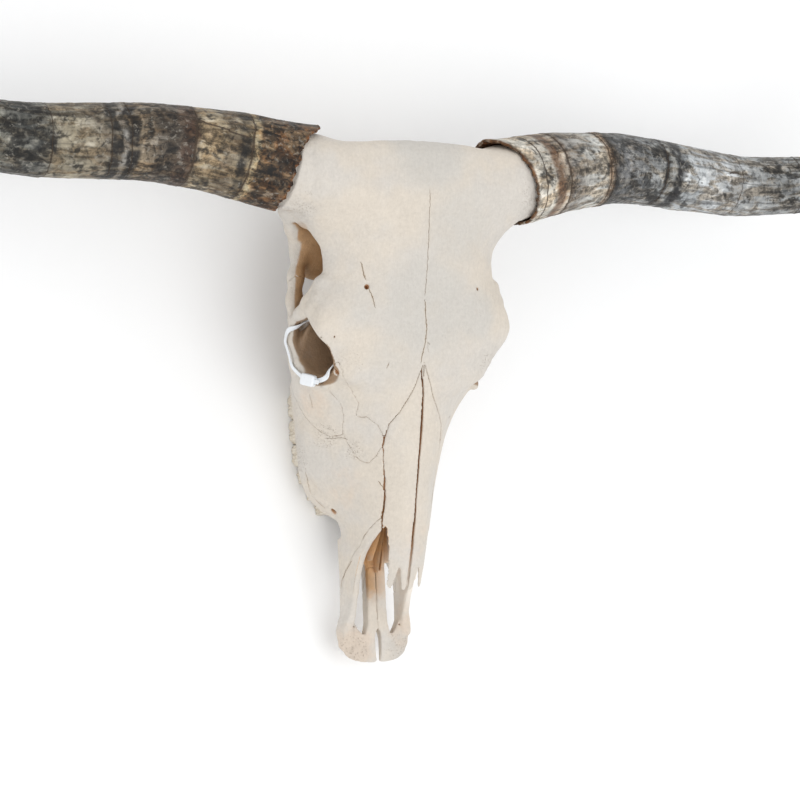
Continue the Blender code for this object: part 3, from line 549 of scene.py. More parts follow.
@dataclass(frozen=True)
class Sutures:
    """Where the bones part: outlines claimed in order, with interlocking waves and thin gaps."""

    shape: SkullShape
    gap: float = -0.10
    nasal_gap: Stations = ((60, 0.7), (150, 0.7), (185, 0.45), (200, 0.15), (212, 0.3), (222, 0.4),
                           (236, 0.12), (300, 0.06))
    nasal_depth: float = 19.0
    nasal_plan: Stations = ((0, 50), (28.5, 50), (28.5, 142), (27.5, 165), (29.5, 185), (33, 215),
                            (30.5, 236), (23, 247), (17.5, 256), (11, 268), (5, 284), (0, 297))
    premaxilla: Stations = ((-12, -2), (68, -2), (72, 35), (94, 44), (107, 61), (120, 81), (128, 88),
                            (146, 118), (152, 131), (151, 150), (136, 130), (120, 112), (100, 95),
                            (60, 90), (-12, 80))
    lacrimal_side: Stations = ((222, 139), (211, 131), (205, 125), (200, 118), (203, 111.5),
                               (209, 107.5), (217, 106), (226, 104.5), (234, 105), (242, 109),
                               (250, 114), (257, 116.5), (264, 118.5), (272, 118), (279, 121),
                               (286, 126), (292, 136), (298, 153), (290, 152), (283, 148),
                               (276, 138.5), (267, 134), (259, 132.5), (252, 127.5), (248, 125),
                               (245.5, 128), (246, 132.5), (238, 137), (230, 139))
    lacrimal_plan: Stations = ((27, 190), (220, 190), (220, 300), (50, 300))
    zygomatic_side: Stations = ((230, 90), (231, 104), (242, 111), (250, 116), (264, 121), (279, 124),
                                (290, 127), (312, 120), (338, 113), (366, 112), (372, 108), (392, 106),
                                (378, 86), (372, 48), (300, 48), (268, 60), (240, 78))
    zygomatic_plan: Stations = ((60, 200), (220, 200), (220, 400), (60, 400))
    maxilla: Stations = ((69, -2), (291, -2), (293, 50), (297, 110), (240, 114), (226, 128),
                         (222, 170), (140, 170), (152, 131), (146, 118), (128, 88), (120, 81),
                         (107, 61), (94, 44), (72, 35))
    midline_gap: Stations = ((0, 0.2), (60, 0.4), (90, 0.5), (120, 0.65), (160, 0.85), (200, 1.0),
                             (255, 0.95), (285, 0.55), (300, 0.25))
    midline: Stations = ((0, 0), (75, -1.6), (110, -1.6), (150, -0.4), (200, 0), (240, 1.2),
                         (262, 1.2), (280, -1.8), (297, -3), (320, -1))

    def claims(self, p: Place, waves: Array) -> dict[str, Array]:
        """Fields of the bones' claims, each below zero inside its outline.

        Args:
            p: the places.
            waves: millimetres by which the sutures stray.

        Returns:
            One field for each claim, without the claims before it taken off.
        """
        roof = curve(self.shape.top_line, p[1]) - self.nasal_depth - p[2]
        nasal = np.maximum(roof, Outline(self.nasal_plan, True).distance(p))
        lacrimal = np.maximum(Outline(self.lacrimal_side).distance(p),
                              Outline(self.lacrimal_plan, True).distance(p))
        zygomatic = np.maximum(Outline(self.zygomatic_side).distance(p),
                               Outline(self.zygomatic_plan, True).distance(p))
        premaxilla, maxilla = (Outline(side).distance(p) for side in (self.premaxilla, self.maxilla))
        return {"nasal": nasal + 0.55 * waves, "premaxilla": premaxilla + 0.5 * waves,
                "lacrimal": lacrimal + waves, "zygomatic": zygomatic + waves,
                "maxilla": maxilla + 0.8 * waves}

    def part(self, lattice: Lattice, skull: Array, waves: Array) -> Iterable[tuple[str, Lattice, Array]]:
        """Give each bone of the skull in turn, in its own window of the lattice.

        Args:
            lattice: the whole skull's lattice.
            skull: the field on it.
            waves: how the sutures stray, on the same points.

        Returns:
            Piece name, its lattice and its field.
        """
        p = lattice.place(lattice.whole())
        wander = p[0] - curve(self.midline, p[1]) * smooth(40, 90, p[2]) - 0.35 * waves
        taken: list[Array] = []
        for bone, claim in self.claims(p, waves).items():
            nasal = bone == "nasal"
            gap = curve(self.nasal_gap, p[1]) if nasal else self.gap
            own = reduce(np.maximum, [claim + gap, *taken])
            taken.append(gap - claim)
            for side in Side:
                half = (curve(self.midline_gap, p[1]) if nasal else self.gap) - side.value * wander
                field = reduce(np.maximum, [skull, own, half])
                window = self.tight(field)
                yield f"{bone}_{side.tag}", lattice.part(window), field[window]
        rest = reduce(np.maximum, [skull, *taken])
        window = self.tight(rest)
        yield "cranium", lattice.part(window), rest[window]

    @staticmethod
    def tight(field: Array) -> Window:
        """Slices that hold all of a field's inside, with two cells to spare."""
        inside = field < 0
        made = []
        for i in range(3):
            hit = np.flatnonzero(inside.any(axis=tuple(k for k in range(3) if k != i)))
            made.append(slice(max(0, hit[0] - 2), min(field.shape[i], hit[-1] + 3)))
        return tuple(made)


def largest_body(count: int, faces: Array) -> Array:
    """Which corners belong to the largest connected body.

    Args:
        count: how many corners there are.
        faces: rows of corner numbers.

    Returns:
        One truth value for each corner, found by spreading the lowest number along the edges.
    """
    label = np.arange(count)
    edges = np.concatenate([faces[:, [k, (k + 1) % faces.shape[1]]] for k in range(faces.shape[1])])
    while True:
        low = np.minimum(label[edges[:, 0]], label[edges[:, 1]])
        new = label.copy()
        np.minimum.at(new, edges[:, 0], low)
        np.minimum.at(new, edges[:, 1], low)
        new = new[new]
        if np.array_equal(new, label):
            break
        label = new
    return label == np.bincount(label).argmax()


def new_mesh(name: str, points: Array, faces: Array) -> Mesh:
    """A smooth mesh from corner places in metres and rows of corner numbers, faces outwards.

    Args:
        name: the mesh's name.
        points: rows of x, y, z.
        faces: rows of three or four corner numbers.

    Returns:
        The mesh; its faces are turned round where the volume they enclose comes out negative.
    """
    a, b, c = (points[faces[:, k]] for k in range(3))
    volume = np.sum(a * np.cross(b, c))
    if faces.shape[1] == 4:
        volume += np.sum(a * np.cross(c, points[faces[:, 3]]))
    if volume < 0:
        faces = faces[:, ::-1]
    mesh = bpy.data.meshes.new(name)
    mesh.vertices.add(len(points))
    mesh.vertices.foreach_set("co", np.ascontiguousarray(points, np.float32).ravel())
    mesh.loops.add(faces.size)
    mesh.loops.foreach_set("vertex_index", np.ascontiguousarray(faces, np.int32).ravel())
    mesh.polygons.add(len(faces))
    mesh.polygons.foreach_set("loop_start", np.arange(0, faces.size, faces.shape[1], dtype=np.int32))
    mesh.update(calc_edges=True)
    mesh.shade_smooth()
    return mesh


def placed(at: Array, side: Side = Side.LEFT) -> Array:
    """Skull coordinates turned into the model's metres, mirrored for the right side."""
    return (at - ORIGIN) * np.array([side.value, 1, 1]) * MM


def tubes(name: str, parts: Sequence[Array], side: Side = Side.LEFT) -> Mesh:
    """Closed shells in one mesh.

    Args:
        name: the mesh's name.
        parts: for each shell its rows of corners, each row a ring, in skull coordinates.
        side: which side of the head it lies on.

    Returns:
        The mesh: two triangles between neighbours, and fans to the mean of the first and last ring.
    """
    points, faces, count = [], [], 0
    for at in parts:
        rows, columns = at.shape[:2]
        i, j = np.meshgrid(np.arange(rows - 1), np.arange(columns), indexing="ij")
        k = (j + 1) % columns
        body = np.stack([i * columns + j, i * columns + k, (i + 1) * columns + k, (i + 1) * columns + j],
                        axis=-1).reshape(-1, 4)
        j, k = j[0], k[0]
        last, pole = (rows - 1) * columns, np.full(columns, rows * columns)
        faces += [count + part for part in (
            body[:, [0, 1, 2]], body[:, [0, 2, 3]], np.stack([k, j, pole], axis=1),
            np.stack([last + j, last + k, pole + 1], axis=1))]
        points += [at.reshape(-1, 3), [at[0].mean(axis=0), at[-1].mean(axis=0)]]
        count += rows * columns + 2
    return new_mesh(name, placed(np.concatenate(points), side), np.concatenate(faces))


def new_piece(name: str, mesh: Mesh, look: Material,
              node: str | None = None) -> None:
    """Put a mesh into the scene as a piece that rides on the root body, in place of a node."""
    piece = bpy.data.objects.new(name, mesh)
    bpy.context.scene.collection.objects.link(piece)
    mesh.materials.append(look)
    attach(piece, "root")
    if node:
        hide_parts(node)
    LOG.info("%s: %d faces", name, len(mesh.polygons))


def field_mesh(name: str, lattice: Lattice, field: Array) -> Mesh:
    """Mesh the zero surface of a field, keep its largest body and thin it if it is too heavy.

    Args:
        name: the mesh's name.
        lattice: the points of the field.
        field: distances in millimetres.

    Returns:
        The closed mesh, in metres in the model's frame.
    """
    grid = openvdb.FloatGrid(BOUND)
    grid.copyFromArray(np.ascontiguousarray(np.pad(field, 1, constant_values=BOUND)))
    points, quads = grid.convertToQuads(0.0)
    keep = largest_body(len(points), quads)
    quads = quads[keep[quads[:, 0]]]
    number = np.cumsum(keep) - 1
    place = (points[keep] - 1) * lattice.step + np.array(lattice.low)
    place[:, 2] = np.maximum(place[:, 2], 0)
    mesh = new_mesh(name, placed(place), number[quads])
    if 2 * len(quads) <= TRIANGLES:
        return mesh
    carrier = bpy.data.objects.new(name, mesh)
    bpy.context.scene.collection.objects.link(carrier)
    thin = carrier.modifiers.new("thin", "DECIMATE")
    thin.ratio = TRIANGLES / (2 * len(quads))
    graph = bpy.context.evaluated_depsgraph_get()
    made = bpy.data.meshes.new_from_object(carrier.evaluated_get(graph))
    bpy.data.objects.remove(carrier)
    bpy.data.meshes.remove(mesh)
    made.name = name
    return made


# ---- painted attributes
@dataclass(frozen=True)
class Crack:
    """A line on the bone through (x, y, z) points, as wide as its half-width in its middle."""

    points: Stations
    half_width: float

    def measure(self, at: Array, normal: Array) -> tuple[Array, Array]:
        """Signed distance across the line and the half-width that counts at each corner.

        Args:
            at: corner places in skull coordinates.
            normal: the surface's direction there.

        Returns:
            Distance to the line with the sign of the side it lies on, and the half-width, which
            tapers to nothing at both ends and 9 mm away from the line.
        """
        rows = np.array(self.points, float)
        runs = np.linalg.norm(np.diff(rows, axis=0), axis=1)
        starts = np.concatenate([[0], np.cumsum(runs)])
        best = np.full(len(at), 1e9)
        sign = np.ones(len(at))
        run = np.zeros(len(at))
        for k, (a, b) in enumerate(zip(rows[:-1], rows[1:])):
            edge = b - a
            t = np.clip((at - a) @ edge / (edge @ edge), 0, 1)
            off = at - a - t[:, None] * edge
            far = np.linalg.norm(off, axis=1)
            nearer = far < best
            best = np.where(nearer, far, best)
            side = np.sign(np.sum(np.cross(edge, normal) * off, axis=1))
            sign = np.where(nearer, side, sign)
            run = np.where(nearer, starts[k] + t * runs[k], run)
        whole = starts[-1]
        taper = smooth(0, min(8, whole / 3), run) * smooth(0, min(8, whole / 3), whole - run)
        return best * sign, self.half_width * taper * smooth(9, 5, best)


@dataclass(frozen=True)
class Patch:
    """A soft-edged ball of surface, centre in skull coordinates, where something shows."""

    centre: Triple
    radius: float
    strength: float

    def measure(self, at: Array) -> Array:
        """Strength at each corner, from full at the centre to nothing at the radius."""
        return self.strength * smooth(self.radius, 0.3 * self.radius,
                                      np.linalg.norm(at - np.array(self.centre), axis=1))


def put(mesh: Mesh, name: str, values: Array, kind: str = "FLOAT") -> None:
    """Store a number, vector or colour for each corner of a mesh under a name."""
    key = {"FLOAT": "value", "FLOAT_VECTOR": "vector", "FLOAT_COLOR": "color"}[kind]
    mesh.attributes.new(name, kind, "POINT").data.foreach_set(key, values.astype(np.float32).ravel())


class Nearest:
    """The line that shows most at each corner: signed distance across it and its half-width."""

    reach = 12.0

    def __init__(self, count: int) -> None:
        """Start with no line near any corner."""
        self.across, self.width = np.full(count, 50.0), np.zeros(count)

    def offer(self, off: Array, half: Array | float) -> None:
        """Take over where a line shows more than the ones so far."""
        nearer = half - np.abs(off) > self.width - np.abs(self.across)
        self.across = np.where(nearer, off, self.across)
        self.width = np.where(nearer, half, self.width)

    def store(self, mesh: Mesh) -> None:
        """Put both numbers on the mesh."""
        put(mesh, "crack_across", self.across)
        put(mesh, "crack_width", np.where(np.abs(self.across) < self.reach, self.width, 0))


def corners(mesh: Mesh) -> tuple[Array, Array]:
    """Corner places in skull coordinates, and the surface's direction there."""
    count = len(mesh.vertices)
    at, normal = np.zeros(count * 3, np.float32), np.zeros(count * 3, np.float32)
    mesh.vertices.foreach_get("co", at)
    mesh.vertices.foreach_get("normal", normal)
    return at.reshape(-1, 3) / MM + ORIGIN, normal.reshape(-1, 3)


@dataclass(frozen=True)
class BonePaint:
    """What the bone's material needs at each corner: shelter and hollows, which carry painted shade, cracks
    and patches.
    """

    shape: SkullShape
    cracks: Sequence[Crack]
    patches: dict[str, Sequence[Patch]]
    reaches: tuple[float, ...] = (3.0, 8.0, 20.0, 42.0)

    def shelter(self, at: Array, normal: Array) -> Array:
        """How much bone surrounds each corner; the material turns it into painted shade.

        Args:
            at: corner places.
            normal: directions away from the bone.

        Returns:
            Mean over four reaches of the share by which the field falls short of the reach.
        """
        total = np.zeros(len(at))
        for reach in self.reaches:
            field = self.shape.at(at + reach * normal)
            total += np.clip(1 - field / reach, 0, 1.6) / len(self.reaches)
        return total

    def hollow_stain_and_shade(self, at: Array, normal: Array) -> Array:
        """How brown each corner is: orbits, temples and nose, less what faces out of the head; the brown is
        partly stain and partly painted shade on walls turned from the light.
        """
        x, y, z = np.abs(at[:, 0]), at[:, 1], at[:, 2]
        out, back, up = normal[:, 0] * np.sign(at[:, 0]), normal[:, 1], normal[:, 2]
        high = smooth(130, 142, z)
        orbit = smooth(11, 7, self.shape.hollows((x, y, z)) + 8 * high * smooth(0.2, 0.5, up))
        facing = np.maximum(out, up * high)
        orbit *= 1 - smooth(0.2, 0.7, facing) * smooth(99, 105, x + 4 * smooth(345, 358, y))
        under = self.shape.roof(x, y) - z
        temple = (smooth(3, 9, under) * smooth(74, 84, z) * smooth(352, 362, y) * smooth(464, 446, y)
                  * smooth(48, 55, x) * (1 - smooth(-0.2, 0.5, out) * smooth(93, 99, x)))
        front = (0.6 * smooth(-0.3, -0.7, back) * smooth(8, 20, under) * smooth(118, 132, z)
                 * smooth(100, 106, x) * smooth(424, 430, y) * smooth(448, 438, y))
        nose = smooth(3, 0.5, self.shape.nose((x, y, z))) * smooth(42, 90, y)
        nose *= 1 - smooth(0.1, 0.6, up) * smooth(14, 20, x) * smooth(160, 130, y)
        nose *= 1 - 0.75 * smooth(14, 7, curve(self.shape.top_line, y) - z) * smooth(112, 96, y)
        return reduce(np.maximum, [orbit, temple, front, nose])

    def dress(self, mesh: Mesh) -> None:
        """Store every attribute on a bone's mesh."""
        at, normal = corners(mesh)
        lines = Nearest(len(at))
        for crack in self.cracks:
            lines.offer(*crack.measure(at, normal))
        lines.store(mesh)
        put(mesh, "shelter", self.shelter(at, normal))
        put(mesh, "depth", -self.shape.at(at))
        put(mesh, "hollow_stain_and_shade", self.hollow_stain_and_shade(at, normal))
        for name, patches in self.patches.items():
            put(mesh, name, reduce(np.maximum, [patch.measure(at) for patch in patches]))


# ---- shader expressions
def one_node(operation: str, swapped: bool = False) -> Callable[["Value", "Value | float"], "Value"]:
    """A method that adds one Math node on two values, in turned order where they are swapped."""
    def method(self: "Value", other: "Value | float") -> "Value":
        """The node's result."""
        return self.paint.math(operation, *((other, self) if swapped else (self, other)))
    return method


class Value:
    """A number's socket; arithmetic on it adds Math nodes to its material."""

    __add__ = __radd__ = one_node("ADD")
    __sub__, __rsub__ = one_node("SUBTRACT"), one_node("SUBTRACT", swapped=True)
    __mul__ = __rmul__ = one_node("MULTIPLY")
    __rpow__ = one_node("POWER", swapped=True)
    most = one_node("MAXIMUM")

    def __init__(self, paint: "Paint", socket: Socket) -> None:
        """Wrap a socket of the material that the paint builds."""
        self.paint = paint
        self.socket = socket

    def __abs__(self) -> "Value":
        """Size without its sign."""
        return self.paint.math("ABSOLUTE", self)

    def smooth(self, low: "Value | float", high: "Value | float") -> "Value":
        """Rise smoothly from 0 at low to 1 at high; low may lie above high."""
        node = self.paint.add("ShaderNodeMapRange", {"interpolation_type": "SMOOTHSTEP"},
                              {"Value": self, "From Min": low, "From Max": high})
        return Value(self.paint, node.outputs["Result"])


class Paint:
    """Builds one Principled material from values, colours and noises."""

    def __init__(self, name: str) -> None:
        """Start a material with an empty tree."""
        self.material = bpy.data.materials.new(name)
        self.material.use_nodes = True
        self.tree = self.material.node_tree
        self.tree.nodes.clear()

    def add(self, kind: str, settings: dict | None = None, values: dict | None = None) -> bpy.types.Node:
        """Add a node.

        Args:
            kind: the node's type.
            settings: properties, set first.
            values: numbers, colours, Values or sockets for its inputs, by name or number.

        Returns:
            The node.
        """
        node = self.tree.nodes.new(kind)
        for key, value in (settings or {}).items():
            setattr(node, key, value)
        for key, value in (values or {}).items():
            target = node.inputs[key]
            if isinstance(value, Value):
                value = value.socket
            if isinstance(value, Socket):
                self.tree.links.new(value, target)
            else:
                target.default_value = (*value, 1) if target.type == "RGBA" else value
        return node

    def math(self, operation: str, *values: Value | float) -> Value:
        """One Math node on up to three values."""
        node = self.add("ShaderNodeMath", {"operation": operation}, dict(enumerate(values)))
        return Value(self, node.outputs[0])

    def attribute(self, name: str) -> Value:
        """A number stored on the mesh."""
        return Value(self, self.add("ShaderNodeAttribute", {"attribute_name": name}).outputs["Fac"])

    def attribute_vector(self, name: str) -> Socket:
        """A vector or colour stored on the mesh."""
        return self.add("ShaderNodeAttribute", {"attribute_name": name}).outputs["Vector"]

    def stretched(self, at: Socket, scale: Colour,
                  turn: Colour = (0, 0, 0)) -> Socket:
        """A place multiplied axis by axis, then turned by three angles."""
        return self.add("ShaderNodeMapping", None,
                        {"Vector": at, "Scale": scale, "Rotation": turn}).outputs[0]

    def object_place(self, scale: Colour = (1, 1, 1)) -> Socket:
        """Object coordinates, multiplied axis by axis."""
        return self.stretched(self.add("ShaderNodeTexCoord").outputs["Object"], scale)

    def noise(self, at: Socket, size: float, detail: float = 3,
              roughness: float = 0.5, warp: float = 0) -> Value:
        """Smooth noise round 0.5 with features of about the size, in the units of its place."""
        node = self.add("ShaderNodeTexNoise", None, {
            "Vector": at, "Scale": 1 / size, "Detail": detail, "Roughness": roughness, "Distortion": warp})
        return Value(self, node.outputs[0])

    def dots(self, at: Socket, size: float) -> Value:
        """Distance to the nearest of many scattered points, in cells of the size."""
        node = self.add("ShaderNodeTexVoronoi", None, {"Vector": at, "Scale": 1 / size})
        return Value(self, node.outputs["Distance"])

    def mix(self, share: Value | float, a: object, b: object, blend: str = "MIX") -> Socket:
        """Colour a turned towards b by the share."""
        node = self.add("ShaderNodeMix", {"data_type": "RGBA", "blend_type": blend, "clamp_factor": True},
                        {0: share, 6: a, 7: b})
        return node.outputs[2]

    def brighten(self, colour: Socket, by: Value) -> Socket:
        """Colour multiplied by a number that varies over the surface."""
        return self.add("ShaderNodeVectorMath", {"operation": "SCALE"}, {0: colour, "Scale": by}).outputs[0]

    def finish(self, colour: object, roughness: Value | float, height: Value | None = None,
               height_mm: float = 1.0, **constants: float) -> Material:
        """Put the shader at the end of the tree.

        Args:
            colour: base colour or its socket.
            roughness: number or value.
            height: relief, from 0 to 1.
            height_mm: millimetres that a relief of 1 stands for.
            constants: other sockets of the shader, underscores for spaces.

        Returns:
            The finished material.
        """
        shader = self.add("ShaderNodeBsdfPrincipled", None, {"Base Color": colour, "Roughness": roughness})
        for key, value in constants.items():
            shader.inputs[key.replace("_", " ")].default_value = value
        if height is not None:
            bump = self.add("ShaderNodeBump", None,
                            {"Strength": 1.0, "Distance": height_mm * MM, "Height": height})
            self.tree.links.new(bump.outputs[0], shader.inputs["Normal"])
        self.add("ShaderNodeOutputMaterial", None, {"Surface": shader.outputs[0]})
        return self.material


# ---- finishes
@dataclass(frozen=True)
class DryBone:
    """Bleached, dry bone: warm ivory, greyer on the forehead, brown in sutures, brown in hollows that is
    partly stain and partly painted shade, painted shade in deep folds and one patch of painted light.
    """

    ivory: Colour = (0.642, 0.580, 0.500)
    pale: Colour = (0.608, 0.570, 0.520)
    # ash also darkens the poll, partly as painted shade
    ash: Colour = (0.562, 0.535, 0.492)
    warm: Colour = (0.640, 0.530, 0.430)
    # pale colour of a patch of painted light on a shaded wall
    bleached: Colour = (0.84, 0.78, 0.70)
    # tan: stain beside cracks, and the tint of painted shade where much bone surrounds the place
    tan: Colour = (0.66, 0.53, 0.38)
    rust: Colour = (0.50, 0.25, 0.11)
    umber: Colour = (0.26, 0.160, 0.085)
    amber: Colour = (0.66, 0.38, 0.165)
    # dark brown of pores, and of the painted shade in the deepest folds
    dirt: Colour = (0.30, 0.195, 0.105)
    seam: Colour = (0.27, 0.165, 0.080)
    roughness: float = 0.58

    def material(self) -> Material:
        """Make the material; it reads the attributes that BonePaint stores."""
        paint = Paint("dry_bone")
        place = paint.object_place()
        grain = paint.object_place((1.0, 0.22, 0.5))
        cloud = paint.noise(place, 0.060, 3, 0.55)
        blotch = paint.noise(place, 0.016, 4, 0.6)
        mottle = paint.noise(place, 0.0035, 3, 0.6)
        fibre = paint.noise(grain, 0.0016, 3, 0.6)
        shelter = paint.attribute("shelter")
        colour = paint.mix(cloud.smooth(0.38, 0.64), self.ivory, self.pale)
        grey = paint.attribute("grey") * (blotch + 0.45)
        colour = paint.mix(grey.smooth(0.1, 1.0), colour, self.ash)
        warm = paint.attribute("warm") * (blotch + 0.35) + (blotch - 0.5) * 0.6
        colour = paint.mix(warm.smooth(0.15, 0.85) * 0.75, colour, self.warm)
        colour = paint.brighten(colour, 0.98 + (mottle - 0.5) * 0.24 + (fibre - 0.5) * 0.15
                                + (blotch - 0.5) * 0.14)
        holes = self.holes(paint, place, (cloud + blotch).smooth(1.02, 1.25), mottle)
        colour = paint.mix(holes * 0.42, colour, self.dirt)
        colour = self.hollows(paint, colour, shelter, blotch, mottle)
        # Painted light: a patch lightened where the inner wall of the left muzzle blade lies in shade.
        colour = paint.mix(paint.attribute("bleached") * 0.8, colour, self.bleached)
        crack, halo = self.cracks(paint, place)
        colour = paint.mix(halo, colour, self.tan)
        colour = paint.mix(crack * 0.80, colour, self.seam)
        worn = (mottle - 0.5) * (0.5 + paint.attribute("pitted") * 1.8)
        grit = (paint.noise(place, 0.0011, 2, 0.6) - 0.5) * 0.25
        height = (0.5 + worn + (fibre - 0.5) * 0.20 + grit + (blotch - 0.5) * 0.6
                  - holes * 0.5 - crack * 1.0)
        rough = self.roughness + (mottle - 0.5) * 0.2 + shelter * 0.1
        return paint.finish(colour, rough, height, 1.05, IOR=1.5)

    def holes(self, paint: Paint, place: Socket, sparse: Value, mottle: Value) -> Value:
        """Scattered pores, many where the bone is pitted and few elsewhere."""
        often = sparse * 0.35 + paint.attribute("pitted")
        return paint.dots(place, 0.0021).smooth(0.30, 0.14) * (often * (mottle + 0.5)).smooth(0.25, 0.6)

    def hollows(self, paint: Paint, colour: Socket, shelter: Value, blotch: Value,
                mottle: Value) -> Socket:
        """Brown on the hollows' walls, partly stain and partly painted shade; painted shade where much bone
        surrounds the place, darkest in the deepest folds; rust inside the sutures.

        Args:
            paint: the material's builder.
            colour: the bare bone's colour.
            shelter: how much bone surrounds the place, which sets the painted shade.
            blotch: noise of 16 mm.
            mottle: noise of 3.5 mm.

        Returns:
            The colour with brown, painted shade and rust.
        """
        brown = paint.mix(paint.attribute("amber").smooth(0.1, 0.6), self.umber, self.amber)
        brown = paint.brighten(brown, 0.45 + blotch * 0.8 + mottle * 0.3)
        share = paint.attribute("hollow_stain_and_shade") + (blotch - 0.5) * 0.7
        # Painted shade: tan multiplied in where much bone surrounds the place.
        colour = paint.mix(shelter.smooth(0.45, 1.05) * 0.42, colour, self.tan, "MULTIPLY")
        # Brown of the hollows: partly stain, partly painted shade on walls turned from the light.
        colour = paint.mix(share.smooth(0.25, 0.95) * 0.94, colour, brown)
        # Painted shade: darkest brown deep in the folds.
        colour = paint.mix((shelter + (blotch - 0.5) * 0.5).smooth(0.85, 1.35) * 0.4, colour, self.dirt)
        return paint.mix(paint.attribute("depth").smooth(0.8, 2.5) * 0.85, colour, self.rust)

    def cracks(self, paint: Paint, place: Socket) -> tuple[Value, Value]:
        """Share of the thin dark lines and of the tan that spreads beside them."""
        wander = (paint.noise(place, 0.005, 2, 0.6) - 0.5) * 2.6
        wander = wander + (paint.noise(place, 0.0017, 2, 0.6) - 0.5) * 1.2
        width = paint.attribute("crack_width") * (0.45 + paint.noise(place, 0.009, 2, 0.5) * 1.1)
        line = abs(paint.attribute("crack_across") + wander)
        crack = line.smooth(width + 0.22, width * 0.3) * width.smooth(0.02, 0.10)
        return crack, line.smooth(width + 1.9, width) * width.smooth(0.02, 0.2) * 0.25


@dataclass(frozen=True)
class CheekToothEnamel:
    """Enamel with brown dentine in the worn face's hollows, and blotchy, streaked stains."""

    enamel: Colour = (0.70, 0.645, 0.55)
    dentine: Colour = (0.36, 0.23, 0.12)
    stain: Colour = (0.52, 0.43, 0.31)

    def material(self) -> Material:
        """Make the material; it reads the attribute worn."""
        paint = Paint("tooth_enamel")
        place = paint.object_place()
        tall = paint.object_place((1, 1, 0.18))
        streak = paint.noise(tall, 0.0016, 4, 0.6)
        blotch = paint.noise(place, 0.006, 3, 0.6)
        colour = paint.mix(blotch.smooth(0.4, 0.75) * 0.7, self.enamel, self.stain)
        colour = paint.mix(streak.smooth(0.52, 0.7) * 0.5, colour, self.stain)
        colour = paint.mix((paint.attribute("worn") + (blotch - 0.5) * 0.3).smooth(0.2, 0.8), colour,
                           self.dentine)
        return paint.finish(colour, 0.35 + blotch * 0.2, streak, 0.35, IOR=1.6)


@dataclass(frozen=True)
class HornKeratin:
    """Weathered horn: painted zones times two to the power of smudges, fibres and specks."""

    chalk: Colour = (0.62, 0.58, 0.50)
    tint: Colour = (1.0, 0.78, 0.54)
    rust: Colour = (1.0, 0.62, 0.34)
    line: Colour = (0.045, 0.028, 0.016)
    base: float = 0.88

    def material(self) -> Material:
        """Make the material; it reads coat, straight, contrast, rusty and the lines."""
        paint = Paint("horn_keratin")
        straight = paint.attribute_vector("straight")
        long = paint.stretched(straight, (1, 1, 0.10))
        slant = paint.stretched(straight, (1, 1, 0.35), (0.35, 0.35, 0))
        hair = paint.noise(long, 1.3, 4, 0.65)
        fibre = paint.noise(long, 3.2, 4, 0.6, 0.4)
        speck = paint.noise(straight, 2.2, 4, 0.7)
        patch = paint.noise(straight, 8.0, 5, 0.66, 0.8)
        smudge = paint.noise(slant, 9.0, 4, 0.55, 0.5)
        stops = ((smudge - 0.5) * 1.3 + (patch - 0.5) * 1.9 + (fibre - 0.5) * 0.6 + (speck - 0.5) * 0.6
                 + (hair - 0.5) * 0.35) * paint.attribute("contrast")
        stops = stops - (stops - 0.2).most(0.0) * 0.72
        colour = paint.mix(smudge.smooth(0.56, 0.40) * 0.6, paint.attribute_vector("coat"), self.tint,
                           "MULTIPLY")
        colour = paint.brighten(colour, 2.0**stops * self.base)
        rusty = (paint.attribute("rusty") * (0.4 + patch * 1.3)).smooth(0.2, 0.9)
        colour = paint.mix(rusty * 0.5, colour, self.rust, "MULTIPLY")
        flecks = paint.noise(straight, 5.5, 5, 0.72, 0.5).smooth(0.54, 0.66) * smudge.smooth(0.38, 0.54)
        colour = paint.mix(flecks * 0.25, colour, self.chalk)
        across = paint.attribute("crack_across") + (speck - 0.5) * 2.2
        width = paint.attribute("crack_width") * (0.2 + patch * 1.5)
        groove = abs(across).smooth(width + 0.45, width * 0.4) * width.smooth(0.05, 0.3)
        colour = paint.mix(groove * 0.85, colour, self.line)
        height = hair * 0.5 + fibre * 0.7 + speck * 0.5 + patch * 0.7 - groove * 1.0
        return paint.finish(colour, 0.42 + speck * 0.22 + rusty * 0.15, height, 0.55, IOR=1.54,
                            Specular_IOR_Level=0.3)


@dataclass(frozen=True)
class WhiteNylon:
    """Moulded white nylon, a little blue, with faint handling dust."""

    white: Colour = (0.80, 0.83, 0.86)
    dust: Colour = (0.66, 0.64, 0.60)

    def material(self) -> Material:
        """Make the material."""
        paint = Paint("white_nylon")
        place = paint.object_place()
        film = paint.noise(place, 0.004, 4, 0.6)
        grain = paint.noise(place, 0.0006, 2, 0.5)
        colour = paint.mix(film.smooth(0.5, 0.8) * 0.5, self.white, self.dust)
        return paint.finish(colour, 0.30 + film * 0.2, grain, 0.06, IOR=1.53)


@dataclass(frozen=True)
class StudioFloor:
    """Seamless white paper with a barely visible tooth."""

    white: Colour = (0.965, 0.970, 0.975)
    shade: Colour = (0.950, 0.955, 0.960)

    def material(self) -> Material:
        """Make the material."""
        paint = Paint("studio_floor")
        place = paint.object_place()
        tooth = paint.noise(place, 0.02, 2, 0.5)
        return paint.finish(paint.mix(tooth, self.white, self.shade), 0.8, None, Specular_IOR_Level=0.1)


# ---- horns
def tone(red: int, green: int, blue: int) -> Colour:
    """Linear colour of a paint-chart tone with channels from 0 to 255."""
    shares = [c / 255 for c in (red, green, blue)]
    return tuple(s / 12.92 if s <= 0.04045 else ((s + 0.055) / 1.055) ** 2.4 for s in shares)


@dataclass(frozen=True)
class Band:
    """A band of colour round the horn: its place, half-width, tone, strength and waviness."""

    at: float
    half: float
    tone: Triple
    strength: float
    wave: float
    soft: float = 0.5


